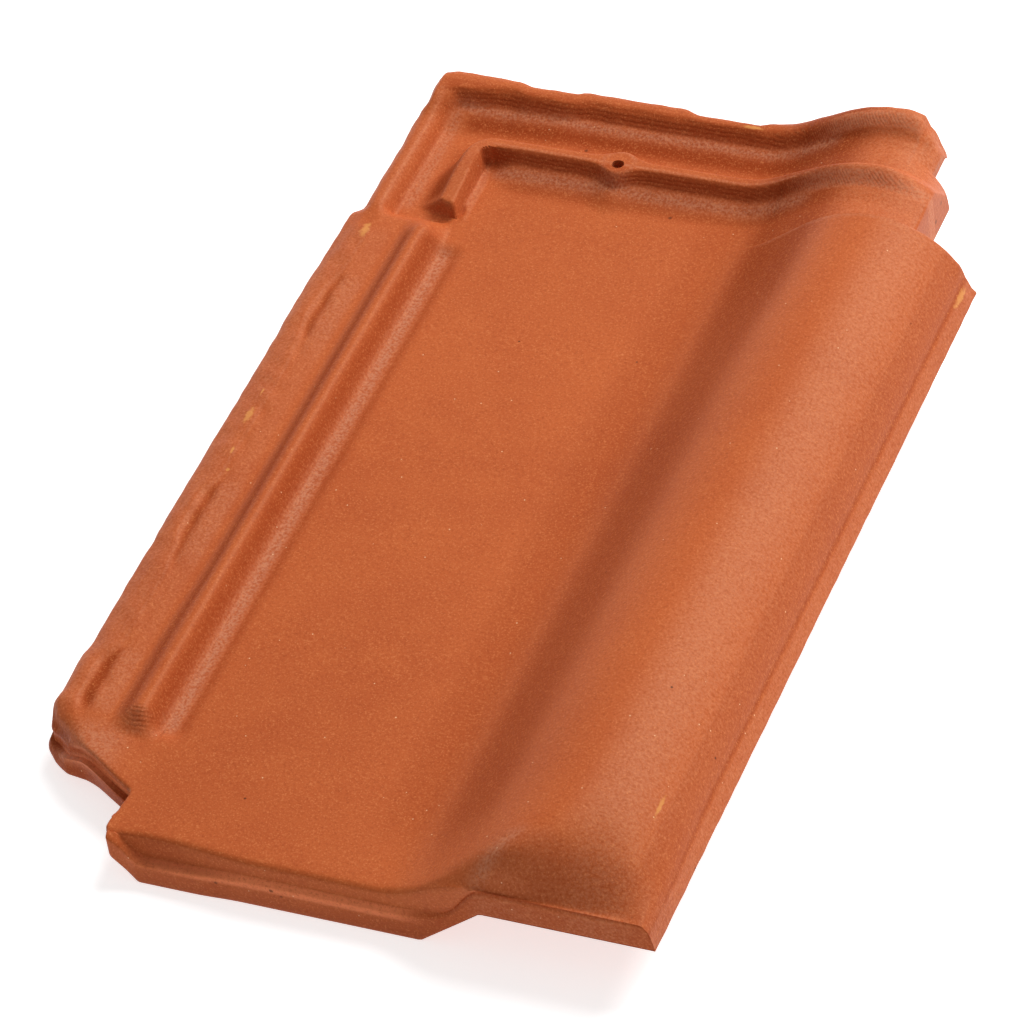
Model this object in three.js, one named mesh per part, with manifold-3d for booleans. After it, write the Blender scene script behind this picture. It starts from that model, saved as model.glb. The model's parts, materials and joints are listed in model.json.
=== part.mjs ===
// Clay roof tile: a small interlocking pantile, pressed in a mould and fired as one piece.
//
// Tile frame, in millimetres: X runs across the tile, from the side lock on the left to the skirt of the
// roll on the right. Y runs from the tail, which lies down the slope, to the head. Z is up from the face
// that the tail's foot stands on. The finished tile is then tipped a little about X, because unheld on a
// level floor it rests on its tail foot and on the two lugs under its head.
//
// The upper face is one height function of x and y, put together from a function for each zone: pan and
// roll, side lock, head margin, ribs, tail. The underside is a second one, and the notch, the head steps
// and the nail hole are cut through both.
import * as THREE from 'three';
import { mergeVertices } from 'three/addons/utils/BufferGeometryUtils.js';
import Module from 'manifold-3d';

// ---- Overall size ----
const LENGTH = 405;
const LEFT_EDGE = 4;
const RIGHT_EDGE = 251;
const CLAY_COLOUR = 0xb4603a;

// ---- Pan and roll ----
const PAN_TOP = 19.5;
const PAN_UNDERSIDE = 6.5;
const ROLL = { foot: 147, crest: 213, halfRight: 35.5, height: 31 };
// The straight middle of the flank, in shares of the way from its foot to the crest.
const FLANK = { straightFrom: 0.33, straightTo: 0.56 };
const HOLLOW = { foot: 156, flankFrom: 168, halfRight: 30.2, crestZ: 38.5 };
const SKIRT = { inner: 243.2, top: 247.2, topAtTail: 249.4, swingLength: 70, edgeZ: 20.6, bottomZ: 20 };

// ---- Tail: a low wall with a ledge under it, and the blunt nose of the roll ----
const LEDGE = { wall: 2, crease: 2.6, creaseZ: 18.6, slope: 1.6, leftZ: 10.4, z: 12.4, noseZ: 20.3,
  left: 47, landed: 61, evenFrom: 66, evenTo: 104 };
const TAIL_WALL = { leftDepth: 2.5, depth: 1.5, noseDepth: 0.1, leftLean: 1.9, lean: 0.6, rounding: 4.5,
  softness: 0.6, shiftLength: 24 };
const NOSE = { start: 150, end: 187, edgeZ: 31.5, slope: 0.85, length: 50, sag: 0.26, softness: 3 };
const FOOT = { side: 47, sideZ: 12.2, left: 57.6, right: 163, depth: 12, slope: 4 };

// ---- Side lock on the left, which the skirt of the next tile covers ----
const LOCK = { edgeZ: 19.2, outerRib: 13.5, outerRibFoot: 17.5, outerRibZ: 23.3, bandZ: 22.8, valleyZ: 21.9,
  panEdge: 56.5, panBlend: 1.5 };
const LOCK_RIB = { left: 27.5, crestLeft: 37, crestRight: 38, right: 46.5, height: 4.8,
  tailFoot: 46, tailTop: 57, headTop: 320, headFoot: 329 };
const CHANNEL = { z: 17.7, right: 49.5, tailEnd: 44, tail: 53, head: 313, headEnd: 321 };
const LOCK_RIM = { z: 22.4, fallFrom: 16, fallTo: 50, width: 8 };
const NOTCH = [[4, 49], [9.2, 43.9], [14.6, 39.8], [22, 37], [28.5, 33.6], [46.6, 23], [45.6, 15],
  [45.6, 4.5], [47.6, 0]];
const NOTCH_CORNER = 5;
const NOTCH_LEDGE = { z: 15.2, outX: 1.2, outY: 2.4 };
const LOCK_UNDERSIDE = { z: 4.7, tail: 14, tailFull: 20, headFull: 52, head: 75, right: 50, rightFull: 44 };

// ---- Head: a margin and a channel, the head rib, and the nail rib that turns down into a short rib ----
const BODY_END = 341;
const BODY_STEP = 1;
const HEAD_ROLL = { foot: 147, crest: 204.5, height: 22.3, halfRight: 38, halfAtStep: 21, halfAtEdge: 16.2,
  narrowFrom: 362, narrowTo: 388, roundFrom: 396 };
const MARGIN = { edge: 8.8, edgeZ: 20.4, crest: 14.4, crestZ: 24, foot: 21.5, floorZ: 18 };
const JOG = { start: 326.5, end: 331.5 };
const PAN_CORNER = { x: 47.6, y: 330.8, radius: 9.2, channelSide: -1.6, panSide: 0.9 };
const HEAD_CHANNEL = { left: 32, right: 82, panBlend: 28 };
const RIB_HEIGHT = { onPan: 8.5, onRoll: 6.5 };
const NAIL_RIB = { x: 41.8, y: 370.4, corner: 6.3, tail: 333, tailSlope: 5.5, outerFoot: 9.6, outerTop: 2.2,
  wallTop: 0.6, wallFoot: 5.2, toeTop: 1.5, toeFoot: 17, toeShare: 0.45, toeFrom: 44, toeFull: 60,
  fadeFrom: 206, fadeTo: 226, fadeShare: 0.7 };
const HEAD_RIB = { left: 8, full: 15, foot: 383.5, wall: 395.8, top: 401.8, toeTop: 398, toeShare: 0.42,
  gentleTo: 15, steepFrom: 24, gentleRun: 9, right: 209.5, rightFoot: 213 };
const BOSS = { x: 98.8, spread: 6.6, front: 4.3, back: 3.9 };
const NAIL_HOLE = { x: 98.6, y: 369.9, radius: 2.4, sides: 16 };
const HEAD_STEPS = [{ right: 225.5, from: BODY_END }, { right: 219.5, from: 386 }];
const HEAD_UNDERSIDE = { foot: 156, halfRight: 24, halfAtEdge: 60, height: 23.3, wall: 4, from: 321, to: 336,
  skirtBlend: 5 };

// ---- Lugs under the head, hooked over the batten ----
const LUG = { centres: [82, 142], width: 26, rootWidth: 30, bearing: 346, thickness: 15, draft: 4,
  heel: 3, bottomZ: -7, sunk: 3 };

// ---- Making ----
// How far the blocks that cut the tile reach past it.
const BELOW = -40;
const ABOVE = 80;
const OUTSIDE = 20;
// Grid lines between the driving dimensions, close together only where a curve needs them.
const UPPER_GRID = { x: [17.5, 24, 48.1, 51.8, 54.2, 75, 88, 112, 130, 232, 237, 241.5, 244.5],
  y: [4.5, 9, 14, 18, 23, 30, 40, 70, 130, 190, 250, 336, 347, 357, 361, 363.5, 366, 392.5, 398, 400] };
const LOWER_GRID = { x: [230.5, 235, 239, 241.8], y: [375] };
// Two grid lines this far apart make an upright step in a height function.
const UPRIGHT = 0.1;

// Power of the curve by which the pressed clay rounds off at its outer rims.
const RIM_POWER = 2.2;

const wasm = await Module();
wasm.setup();

const { smoothstep, lerp, clamp } = THREE.MathUtils;

// 0 outside the feet, 1 between the two shoulders, smooth between.
function ridge(t, footA, shoulderA, shoulderB, footB) {
  return Math.min(smoothstep(t, footA, shoulderA), 1 - smoothstep(t, shoulderB, footB));
}

// 0 to 1, steep at first and flat at the end, like the rounded outer side of a rim.
function swell(t, start, end) {
  return 1 - (1 - clamp((t - start) / (end - start), 0, 1)) ** RIM_POWER;
}

// The S-shaped flank of a roll: it bends up from the foot, runs straight and eases out to the crest.
function flankShare(t) {
  const { straightFrom, straightTo } = FLANK;
  const bend = Math.min(t, straightFrom) ** 2 / (2 * straightFrom);
  const straight = clamp(t - straightFrom, 0, straightTo - straightFrom);
  const easing = Math.max(t - straightTo, 0);
  const eased = easing - easing ** 2 / (2 * (1 - straightTo));
  return 2 * (bend + straight + eased) / (1 + straightTo - straightFrom);
}

// The lower of two surfaces, with their crossing rounded off.
function softMin(a, b, softness) {
  return (a + b - Math.hypot(a - b, softness)) / 2;
}

// A roll: an S-shaped flank on the left and a quarter ellipse on the right of its crest.
function rollHeight(x, foot, crest, halfRight, height) {
  if (x <= foot) {
    return 0;
  }
  if (x < crest) {
    return height * flankShare((x - foot) / (crest - foot));
  }
  const across = Math.min((x - crest) / halfRight, 1);
  return height * Math.sqrt(1 - across * across);
}

function bodyRollTop(x) {
  return PAN_TOP + rollHeight(x, ROLL.foot, ROLL.crest, ROLL.halfRight, ROLL.height);
}

// Beside the head the roll is one tile thickness lower, and its right flank gets steeper towards the edge.
function headRollTop(x, y) {
  const { foot, crest, height, narrowFrom, narrowTo, roundFrom } = HEAD_ROLL;
  const narrowed = lerp(HEAD_ROLL.halfRight, HEAD_ROLL.halfAtStep, smoothstep(y, narrowFrom, narrowTo));
  const halfRight = lerp(narrowed, HEAD_ROLL.halfAtEdge, smoothstep(y, roundFrom, LENGTH));
  const lowered = PAN_TOP + rollHeight(x, foot, crest, halfRight, height);
  return x < ROLL.crest ? Math.min(lowered, bodyRollTop(x)) : lowered;
}

function rollTop(x, y) {
  return lerp(bodyRollTop(x), headRollTop(x, y), smoothstep(y, BODY_END, BODY_END + BODY_STEP));
}

// Side lock from left to right: outer rib, flat band, lock rib, channel. The band falls a little towards
// the lock rib. The rib and the channel run out before both ends of the lock.
function lockTop(x, y) {
  const { edgeZ, outerRib, outerRibFoot, outerRibZ, bandZ, valleyZ, panEdge } = LOCK;
  const { left, crestLeft, crestRight, right, height, headTop, headFoot } = LOCK_RIB;
  const band = lerp(edgeZ, outerRibZ, swell(x, LEFT_EDGE, outerRib))
    - (outerRibZ - bandZ) * smoothstep(x, outerRib, outerRibFoot)
    - (bandZ - valleyZ) * smoothstep(x, outerRibFoot, left);
  const inRun = ridge(y, CHANNEL.tailEnd, CHANNEL.tail, CHANNEL.head, CHANNEL.headEnd);
  const channel = PAN_TOP - (PAN_TOP - CHANNEL.z) * inRun * (1 - smoothstep(x, CHANNEL.right, panEdge));
  const rib = ridge(x, left, crestLeft, crestRight, right) * (1 - smoothstep(y, headTop, headFoot));
  return lerp(band, channel, smoothstep(x, crestLeft, right)) + rib * height;
}

// The closed tail end of the lock slopes down from the band's level to the pan.
function lockRimTop(x) {
  const rim = lerp(LOCK_RIM.z, PAN_TOP, smoothstep(x, LOCK_RIM.fallFrom, LOCK_RIM.fallTo));
  return lerp(LOCK.edgeZ, rim, swell(x, LEFT_EDGE, LEFT_EDGE + LOCK_RIM.width));
}

// Distance out of the channel beside the head, round the corner where the pan meets it.
function panCornerDistance(x, y) {
  const { radius } = PAN_CORNER;
  const acrossX = x - (PAN_CORNER.x - radius);
  const alongY = PAN_CORNER.y + radius - y;
  return (acrossX > 0 && alongY > 0 ? Math.hypot(acrossX, alongY) : Math.max(acrossX, alongY)) - radius;
}

// Left margin beside the head: a rounded outer band and a channel, at a lower level than the pan.
function marginTop(x, y) {
  const onPan = y < NAIL_RIB.y
    ? smoothstep(panCornerDistance(x, y), PAN_CORNER.channelSide, PAN_CORNER.panSide)
    : smoothstep(x, HEAD_CHANNEL.left, HEAD_CHANNEL.right);
  const floor = lerp(MARGIN.floorZ, PAN_TOP, onPan);
  const band = lerp(MARGIN.edgeZ, MARGIN.crestZ, swell(x, MARGIN.edge, MARGIN.crest));
  return lerp(band, floor, smoothstep(x, MARGIN.crest, MARGIN.foot));
}

// Signed distance from the centre line of the nail rib and the short rib, positive on the pan's side.
function nailRibDistance(x, y) {
  const centreX = NAIL_RIB.x + NAIL_RIB.corner;
  const centreY = NAIL_RIB.y - NAIL_RIB.corner;
  if (x < centreX && y > centreY) {
    return NAIL_RIB.corner - Math.hypot(centreX - x, y - centreY);
  }
  return x < centreX ? x - NAIL_RIB.x : NAIL_RIB.y - y;
}

// The nail rib has a steep wall with a long soft toe towards the pan, and swells round the nail hole. The
// short rib has only the wall.
function nailRibShare(x, y) {
  const { wallTop, wallFoot, toeTop, toeFoot, toeShare, toeFrom, toeFull } = NAIL_RIB;
  const { outerFoot, outerTop, tail, tailSlope } = NAIL_RIB;
  const distance = nailRibDistance(x, y);
  const boss = Math.exp(-(((x - BOSS.x) / BOSS.spread) ** 2));
  const front = Math.max(distance - BOSS.front * boss, 0);
  const back = Math.max(-distance - BOSS.back * boss, 0);
  const wallDrop = smoothstep(front, wallTop, wallFoot);
  const toeDrop = smoothstep(front, toeTop, toeFoot);
  const inner = 1 - lerp(wallDrop, toeDrop, toeShare * smoothstep(x, toeFrom, toeFull));
  const end = x < NAIL_RIB.x + NAIL_RIB.corner ? smoothstep(y, tail, tail + tailSlope) : 1;
  const fade = 1 - NAIL_RIB.fadeShare * smoothstep(x, NAIL_RIB.fadeFrom, NAIL_RIB.fadeTo);
  return Math.min(inner, 1 - smoothstep(back, outerTop, outerFoot), end) * fade;
}

// The head rib rises from a long toe in a steep wall, and more gently out of the margin at its left end.
function headRibShare(x, y) {
  const { foot, toeTop, toeShare, wall, top, left, full, right, rightFoot } = HEAD_RIB;
  const gentle = HEAD_RIB.gentleRun * (1 - smoothstep(x, HEAD_RIB.gentleTo, HEAD_RIB.steepFrom));
  const rise = lerp(smoothstep(y, wall - gentle, top), smoothstep(y, foot, toeTop), toeShare);
  return rise * swell(x, left, full) * (1 - smoothstep(x, right, rightFoot));
}

// The nose: the roll sags a little towards the tail and is cut off by a slope down to a straight edge. Under
// the pan the tail is a low wall with a ledge at its foot, which climbs to the pan at the left corner and to
// the nose on the right.
function tailTop(x, y, bodyZ) {
  const rise = smoothstep(x, NOSE.start, NOSE.end);
  const creaseZ = Math.min(lerp(LEDGE.creaseZ, NOSE.edgeZ, rise), bodyZ);
  const run = clamp((y - LEDGE.crease) / lerp(TAIL_WALL.rounding, NOSE.length, rise), 0, 1);
  if (y > LEDGE.wall) {
    const cutOff = creaseZ + NOSE.slope * (y - LEDGE.crease);
    const sagged = bodyZ - NOSE.sag * (bodyZ - creaseZ) * (1 - run) ** 2;
    return softMin(cutOff, sagged, lerp(TAIL_WALL.softness, NOSE.softness, rise) * (1 - run));
  }
  const ledgeZ = lerp(LEDGE.leftZ, LEDGE.z, smoothstep(x, LEDGE.landed, LEDGE.evenTo));
  const fromLeft = lerp(creaseZ, ledgeZ, smoothstep(x, LEDGE.left, LEDGE.landed));
  const toNose = lerp(fromLeft, LEDGE.noseZ, clamp((x - NOSE.start) / (NOSE.end - NOSE.start), 0, 1) ** 2);
  const onLedge = x < NOSE.end ? toNose : creaseZ;
  return Math.min(onLedge + LEDGE.slope * y / LEDGE.wall, creaseZ);
}

function tileTop(x, y) {
  if (x > SKIRT.top && y <= BODY_END) {
    const down = (x - SKIRT.top) / (RIGHT_EDGE - SKIRT.top);
    return lerp(tileTop(SKIRT.top, y), SKIRT.edgeZ, down);
  }
  const base = rollTop(x, y);
  const blend = y < NAIL_RIB.y ? LOCK.panBlend : HEAD_CHANNEL.panBlend;
  const onLeft = 1 - smoothstep(x, LOCK.panEdge, LOCK.panEdge + blend);
  const atTail = lerp(lockRimTop(x), lockTop(x, y), smoothstep(y, LOCK_RIB.tailFoot, LOCK_RIB.tailTop));
  const marginX = x + leftInset(x, y);
  const left = lerp(atTail, marginTop(marginX, y), smoothstep(y, JOG.start, JOG.end));
  const plain = lerp(base, left, onLeft);
  const rib = lerp(RIB_HEIGHT.onPan, RIB_HEIGHT.onRoll, smoothstep(x, ROLL.foot, HEAD_ROLL.crest));
  const share = y > JOG.start ? Math.max(nailRibShare(x, y), headRibShare(marginX, y)) : 0;
  const z = lerp(plain, Math.max(plain, base + rib), share);
  return y < NOSE.length + LEDGE.crease ? tailTop(x, y, z) : z;
}

// Underside of the roll: an S-shaped flank up to the crest, then an arch down to the foot of the skirt.
function hollowCeiling(x) {
  if (x > SKIRT.inner) {
    return SKIRT.bottomZ;
  }
  if (x < ROLL.crest) {
    return PAN_UNDERSIDE + rollHeight(x, HOLLOW.foot, ROLL.crest, 1, HOLLOW.crestZ - PAN_UNDERSIDE);
  }
  return SKIRT.bottomZ + rollHeight(x, 0, ROLL.crest, HOLLOW.halfRight, HOLLOW.crestZ - SKIRT.bottomZ);
}

function headUnderside(x, y) {
  const { foot, height, wall } = HEAD_UNDERSIDE;
  const halfRight = y < HEAD_STEPS[1].from ? HEAD_UNDERSIDE.halfRight : HEAD_UNDERSIDE.halfAtEdge;
  const arch = PAN_UNDERSIDE + rollHeight(x, foot, HEAD_ROLL.crest, halfRight, height);
  return Math.min(arch, headRollTop(x, Math.min(y, LENGTH)) - wall);
}

// Level of the tail's underside: the foot under the pan, with a sloping side on the left, stepping up to
// the bottom edge of the nose on the right.
function tailUnderside(x, bodyZ) {
  if (x < FOOT.left) {
    return FOOT.sideZ * clamp((FOOT.left - x) / (FOOT.left - FOOT.side), 0, 1);
  }
  const nose = SKIRT.bottomZ * clamp((x - FOOT.right) / (NOSE.end - FOOT.right), 0, 1);
  return Math.min(nose, bodyZ);
}

// Underside: flat under pan and lock, hollow under the roll, with skirt, foot and nose wall left standing.
function tileBottom(x, y) {
  const skirtFrom = HEAD_STEPS[0].right;
  const underHead = smoothstep(y, HEAD_UNDERSIDE.from, HEAD_UNDERSIDE.to)
    * (1 - smoothstep(x, skirtFrom, skirtFrom + HEAD_UNDERSIDE.skirtBlend));
  const body = lerp(hollowCeiling(x), headUnderside(x, Math.max(y, BODY_END)), underHead);
  const { tail, tailFull, headFull, head, right, rightFull } = LOCK_UNDERSIDE;
  const underLock = ridge(y, tail, tailFull, headFull, head) * (1 - smoothstep(x, rightFull, right));
  const z = lerp(body, LOCK_UNDERSIDE.z, underLock);
  return lerp(tailUnderside(x, z), z, smoothstep(y, FOOT.depth, FOOT.depth + FOOT.slope));
}

// ---- Where the grid of the upper face leaves straight lines ----

// The left edge steps in beside the head.
function leftInset(x, y) {
  const besideHead = smoothstep(y, JOG.start, JOG.end);
  return (MARGIN.edge - LEFT_EDGE) * besideHead * (1 - smoothstep(x, LEFT_EDGE, MARGIN.crest));
}

// The skirt's upper edge swings out towards the tail.
function skirtSwing(x, y) {
  const share = Math.max(0, 1 - Math.abs(x - SKIRT.top) / (RIGHT_EDGE - SKIRT.top));
  return share * (SKIRT.topAtTail - SKIRT.top) * (1 - smoothstep(y, 0, SKIRT.swingLength));
}

// The tail's wall stands further back on the left, and its crease leans a little behind it.
function tailShift(x, y) {
  const { leftDepth, depth, noseDepth, leftLean, lean, shiftLength } = TAIL_WALL;
  const even = smoothstep(x, LEDGE.evenFrom, LEDGE.evenTo);
  const wallY = lerp(lerp(leftDepth, depth, even), noseDepth, smoothstep(x, NOSE.start, NOSE.end));
  if (y <= LEDGE.wall) {
    return (wallY - LEDGE.wall) * y / LEDGE.wall;
  }
  const creaseY = wallY + lerp(leftLean, lean, even);
  return (creaseY - LEDGE.crease) * clamp(1 - (y - LEDGE.crease) / shiftLength, 0, 1);
}

function planPoint(x, y) {
  return [x + leftInset(x, y) + skirtSwing(x, y), y + tailShift(x, y)];
}

// ---- Making and cutting solids ----

function steps(from, to, count) {
  return Array.from({ length: count + 1 }, (_, i) => lerp(from, to, i / count));
}

function gridLines(...parts) {
  return [...new Set(parts.flat())].sort((a, b) => a - b);
}

// A slab whose top follows a height function over the crossing grid lines and whose base is level.
function heightSlab(xs, ys, height, baseZ, place = (x, y) => [x, y]) {
  const positions = [];
  const faces = [];
  const row = xs.length;
  const layer = row * ys.length;
  for (const level of ['top', 'base']) {
    for (const y of ys) {
      for (const x of xs) {
        positions.push(...place(x, y), level === 'top' ? height(x, y) : baseZ);
      }
    }
  }
  const quad = (a, b, c, d) => faces.push(a, b, c, a, c, d);
  for (let j = 0; j < ys.length - 1; j++) {
    for (let i = 0; i < row - 1; i++) {
      const k = j * row + i;
      quad(k, k + 1, k + row + 1, k + row);
      quad(layer + k, layer + k + row, layer + k + row + 1, layer + k + 1);
    }
  }
  for (let i = 0; i < row - 1; i++) {
    const far = (ys.length - 1) * row + i;
    quad(layer + i, layer + i + 1, i + 1, i);
    quad(layer + far + 1, layer + far, far, far + 1);
  }
  for (let j = 0; j < ys.length - 1; j++) {
    const left = j * row;
    const right = left + row - 1;
    quad(layer + left + row, layer + left, left, left + row);
    quad(layer + right, layer + right + row, right + row, right);
  }
  const geometry = new THREE.BufferGeometry();
  geometry.setAttribute('position', new THREE.Float32BufferAttribute(positions, 3));
  geometry.setIndex(faces);
  return geometry;
}

function toSolid(geometry) {
  const bare = geometry.clone();
  bare.deleteAttribute('normal');
  bare.deleteAttribute('uv');
  const merged = mergeVertices(bare, 1e-4);
  return new wasm.Manifold(new wasm.Mesh({
    numProp: 3,
    vertProperties: new Float32Array(merged.attributes.position.array),
    triVerts: new Uint32Array(merged.index.array),
  }));
}

function toGeometry(solid) {
  const mesh = solid.getMesh();
  const geometry = new THREE.BufferGeometry();
  geometry.setAttribute('position', new THREE.BufferAttribute(mesh.vertProperties, 3));
  geometry.setIndex(new THREE.BufferAttribute(mesh.triVerts, 1));
  geometry.computeVertexNormals();
  return geometry;
}

// A vertical prism over an outline of [x, y] points.
function prism(points, z0, z1) {
  const shape = new THREE.Shape(points.map(([x, y]) => new THREE.Vector2(x, y)));
  const geometry = new THREE.ExtrudeGeometry(shape, { depth: z1 - z0, bevelEnabled: false });
  geometry.translate(0, 0, z0);
  return toSolid(geometry);
}

// The notch at the lock's tail end. Below the ledge the wall stands further out, most of all on the left.
function notch() {
  const closing = [[LEFT_EDGE - OUTSIDE, -OUTSIDE], [LEFT_EDGE - OUTSIDE, NOTCH[0][1]]];
  const [tailX] = NOTCH[NOTCH.length - 1];
  const rim = [...NOTCH, [tailX, -OUTSIDE], ...closing];
  const wall = rim.map(([x, y], i) => {
    const share = Math.max(0, 1 - i / NOTCH_CORNER);
    return [x - NOTCH_LEDGE.outX * share, y - NOTCH_LEDGE.outY * share];
  });
  return prism(wall, BELOW, ABOVE).add(prism(rim, NOTCH_LEDGE.z, ABOVE));
}

// At the head the right side steps in twice, so that four tiles can meet at one point.
function headStep({ right, from }) {
  const far = RIGHT_EDGE + OUTSIDE;
  const end = LENGTH + OUTSIDE;
  return prism([[right, from], [far, from], [far, end], [right, end]], BELOW, ABOVE);
}

function nailHole() {
  const geometry = new THREE.CylinderGeometry(NAIL_HOLE.radius, NAIL_HOLE.radius, ABOVE, NAIL_HOLE.sides);
  geometry.rotateX(Math.PI / 2);
  geometry.translate(NAIL_HOLE.x, NAIL_HOLE.y, PAN_TOP);
  return toSolid(geometry);
}

// A lug: a tapered stud with a square bearing face towards the tail, and a flat bottom.
function lug(centre) {
  const { width, rootWidth, bearing, thickness, draft, heel, bottomZ } = LUG;
  const rootZ = PAN_UNDERSIDE + LUG.sunk;
  const profile = [[bearing, rootZ], [bearing, bottomZ], [bearing + thickness - draft, bottomZ],
    [bearing + thickness + heel, rootZ]];
  const shape = new THREE.Shape(profile.map(([y, z]) => new THREE.Vector2(y, z)));
  const geometry = new THREE.ExtrudeGeometry(shape, { depth: width, bevelEnabled: false });
  geometry.applyMatrix4(new THREE.Matrix4().set(
    0, 0, 1, centre - width / 2,
    1, 0, 0, 0,
    0, 1, 0, 0,
    0, 0, 0, 1,
  ));
  const position = geometry.attributes.position;
  for (let i = 0; i < position.count; i++) {
    const spread = lerp(1, rootWidth / width, (position.getZ(i) - bottomZ) / (rootZ - bottomZ));
    position.setX(i, centre + (position.getX(i) - centre) * spread);
  }
  return toSolid(geometry);
}

// Grid lines of the upper face lie where its section bends: close on ribs and rims, far apart on the pan.
function upperSlab() {
  const xs = gridLines(
    UPPER_GRID.x,
    steps(LEFT_EDGE, MARGIN.crest, 5),
    steps(LOCK_RIB.left, LOCK_RIB.crestLeft, 3),
    steps(LOCK_RIB.crestRight, LOCK_RIB.right, 4),
    steps(BOSS.x - BOSS.spread, BOSS.x + BOSS.spread, 4),
    steps(ROLL.foot, ROLL.crest, 10),
    [MARGIN.foot, CHANNEL.right, LOCK.panEdge, LEDGE.landed],
    [HEAD_STEPS[1].right, HEAD_STEPS[0].right, SKIRT.top, RIGHT_EDGE],
  );
  const ys = gridLines(
    UPPER_GRID.y,
    steps(CHANNEL.tailEnd, LOCK_RIB.tailTop, 4),
    steps(CHANNEL.head, LOCK_RIB.headFoot, 5),
    steps(NAIL_RIB.y - BOSS.back / 2, NAIL_RIB.y + NAIL_RIB.outerFoot, 5),
    [0, LEDGE.wall, LEDGE.crease, JOG.end, NAIL_RIB.tail, NAIL_RIB.tail + NAIL_RIB.tailSlope],
    [BODY_END, BODY_END + BODY_STEP, NAIL_RIB.y - NAIL_RIB.toeFoot, HEAD_RIB.foot, HEAD_STEPS[1].from],
    [HEAD_RIB.wall, HEAD_RIB.top, LENGTH],
  );
  return toSolid(heightSlab(xs, ys, tileTop, BELOW, planPoint));
}

function lowerSlab() {
  const xs = gridLines(
    LOWER_GRID.x,
    [LEFT_EDGE - OUTSIDE, LOCK_UNDERSIDE.rightFull, FOOT.side, LOCK_UNDERSIDE.right, FOOT.left],
    [HOLLOW.foot, FOOT.right],
    steps(HOLLOW.flankFrom, ROLL.crest, 6),
    [HEAD_STEPS[1].right, HEAD_STEPS[0].right, SKIRT.inner, RIGHT_EDGE + OUTSIDE],
  );
  const ys = gridLines(
    LOWER_GRID.y,
    [-OUTSIDE, FOOT.depth, FOOT.depth + FOOT.slope / 2, FOOT.depth + FOOT.slope],
    [LOCK_UNDERSIDE.tailFull, LOCK_UNDERSIDE.headFull, LOCK_UNDERSIDE.head],
    steps(HEAD_UNDERSIDE.from, HEAD_UNDERSIDE.to, 3),
    [HEAD_ROLL.narrowFrom, HEAD_STEPS[1].from - UPRIGHT, HEAD_STEPS[1].from, HEAD_ROLL.roundFrom],
    [LENGTH + OUTSIDE],
  );
  return toSolid(heightSlab(xs, ys, tileBottom, BELOW - OUTSIDE));
}

function roofTile() {
  const cuts = [lowerSlab(), notch(), ...HEAD_STEPS.map(headStep)];
  const pressed = cuts.reduce((solid, cut) => solid.subtract(cut), upperSlab());
  const withLugs = LUG.centres.reduce((solid, centre) => solid.add(lug(centre)), pressed);
  return withLugs.subtract(nailHole());
}

const tileMesh = new THREE.Mesh(
  toGeometry(roofTile()),
  new THREE.MeshStandardMaterial({ color: CLAY_COLOUR, roughness: 0.85, metalness: 0 }),
);
tileMesh.name = 'roof_tile';

// At rest the tail foot's edge and the lugs stand on one level plane, with the origin under the middle.
const tile = new THREE.Group();
tile.add(tileMesh);
tile.rotation.x = Math.atan2(-LUG.bottomZ, LUG.bearing);
const middle = new THREE.Box3().setFromObject(tile, true).getCenter(new THREE.Vector3());
tile.position.set(-middle.x, -middle.y, 0);

export default tile;
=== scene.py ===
# %% [markdown]
# # An interlocking clay roof tile
# The tile is pressed from one slab of soft clay between two halves of a mould, trimmed, dried and fired.
# It has a flat pan that carries the water, a roll that covers the joint on the right, a ribbed lock on the
# left that the next roll lies over, two ribs across the head and two lugs underneath. This lesson builds
# it as one dense mesh from a few height functions, then gives it a clay finish made only of nodes.

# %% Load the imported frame
import json
import math

import bpy
import numpy as np
from mathutils import Euler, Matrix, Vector
from mathutils.geometry import delaunay_2d_cdt

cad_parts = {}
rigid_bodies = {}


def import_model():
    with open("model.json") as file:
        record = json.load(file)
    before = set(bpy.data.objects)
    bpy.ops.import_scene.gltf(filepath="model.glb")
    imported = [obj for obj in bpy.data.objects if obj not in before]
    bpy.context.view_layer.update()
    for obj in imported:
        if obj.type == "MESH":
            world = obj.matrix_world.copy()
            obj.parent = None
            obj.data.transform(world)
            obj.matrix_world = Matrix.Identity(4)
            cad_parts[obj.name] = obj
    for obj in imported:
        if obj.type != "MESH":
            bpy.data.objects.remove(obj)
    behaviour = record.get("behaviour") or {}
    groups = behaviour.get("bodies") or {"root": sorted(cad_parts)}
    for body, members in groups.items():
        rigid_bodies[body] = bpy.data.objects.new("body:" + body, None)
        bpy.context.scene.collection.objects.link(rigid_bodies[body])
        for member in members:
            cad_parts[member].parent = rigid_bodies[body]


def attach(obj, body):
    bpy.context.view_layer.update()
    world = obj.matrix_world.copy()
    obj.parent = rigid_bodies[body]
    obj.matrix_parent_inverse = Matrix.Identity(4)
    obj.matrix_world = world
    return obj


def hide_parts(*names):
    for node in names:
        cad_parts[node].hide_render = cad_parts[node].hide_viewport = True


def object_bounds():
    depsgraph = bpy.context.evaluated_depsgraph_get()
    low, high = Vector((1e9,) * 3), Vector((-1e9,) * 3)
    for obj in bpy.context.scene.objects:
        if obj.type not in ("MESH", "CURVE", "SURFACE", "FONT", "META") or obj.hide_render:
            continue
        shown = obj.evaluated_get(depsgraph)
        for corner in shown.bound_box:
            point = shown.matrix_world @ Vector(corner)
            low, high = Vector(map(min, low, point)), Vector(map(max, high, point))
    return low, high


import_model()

cad_low, cad_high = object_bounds()
print("CAD box in metres:", [round(v, 4) for v in cad_high - cad_low])

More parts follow.
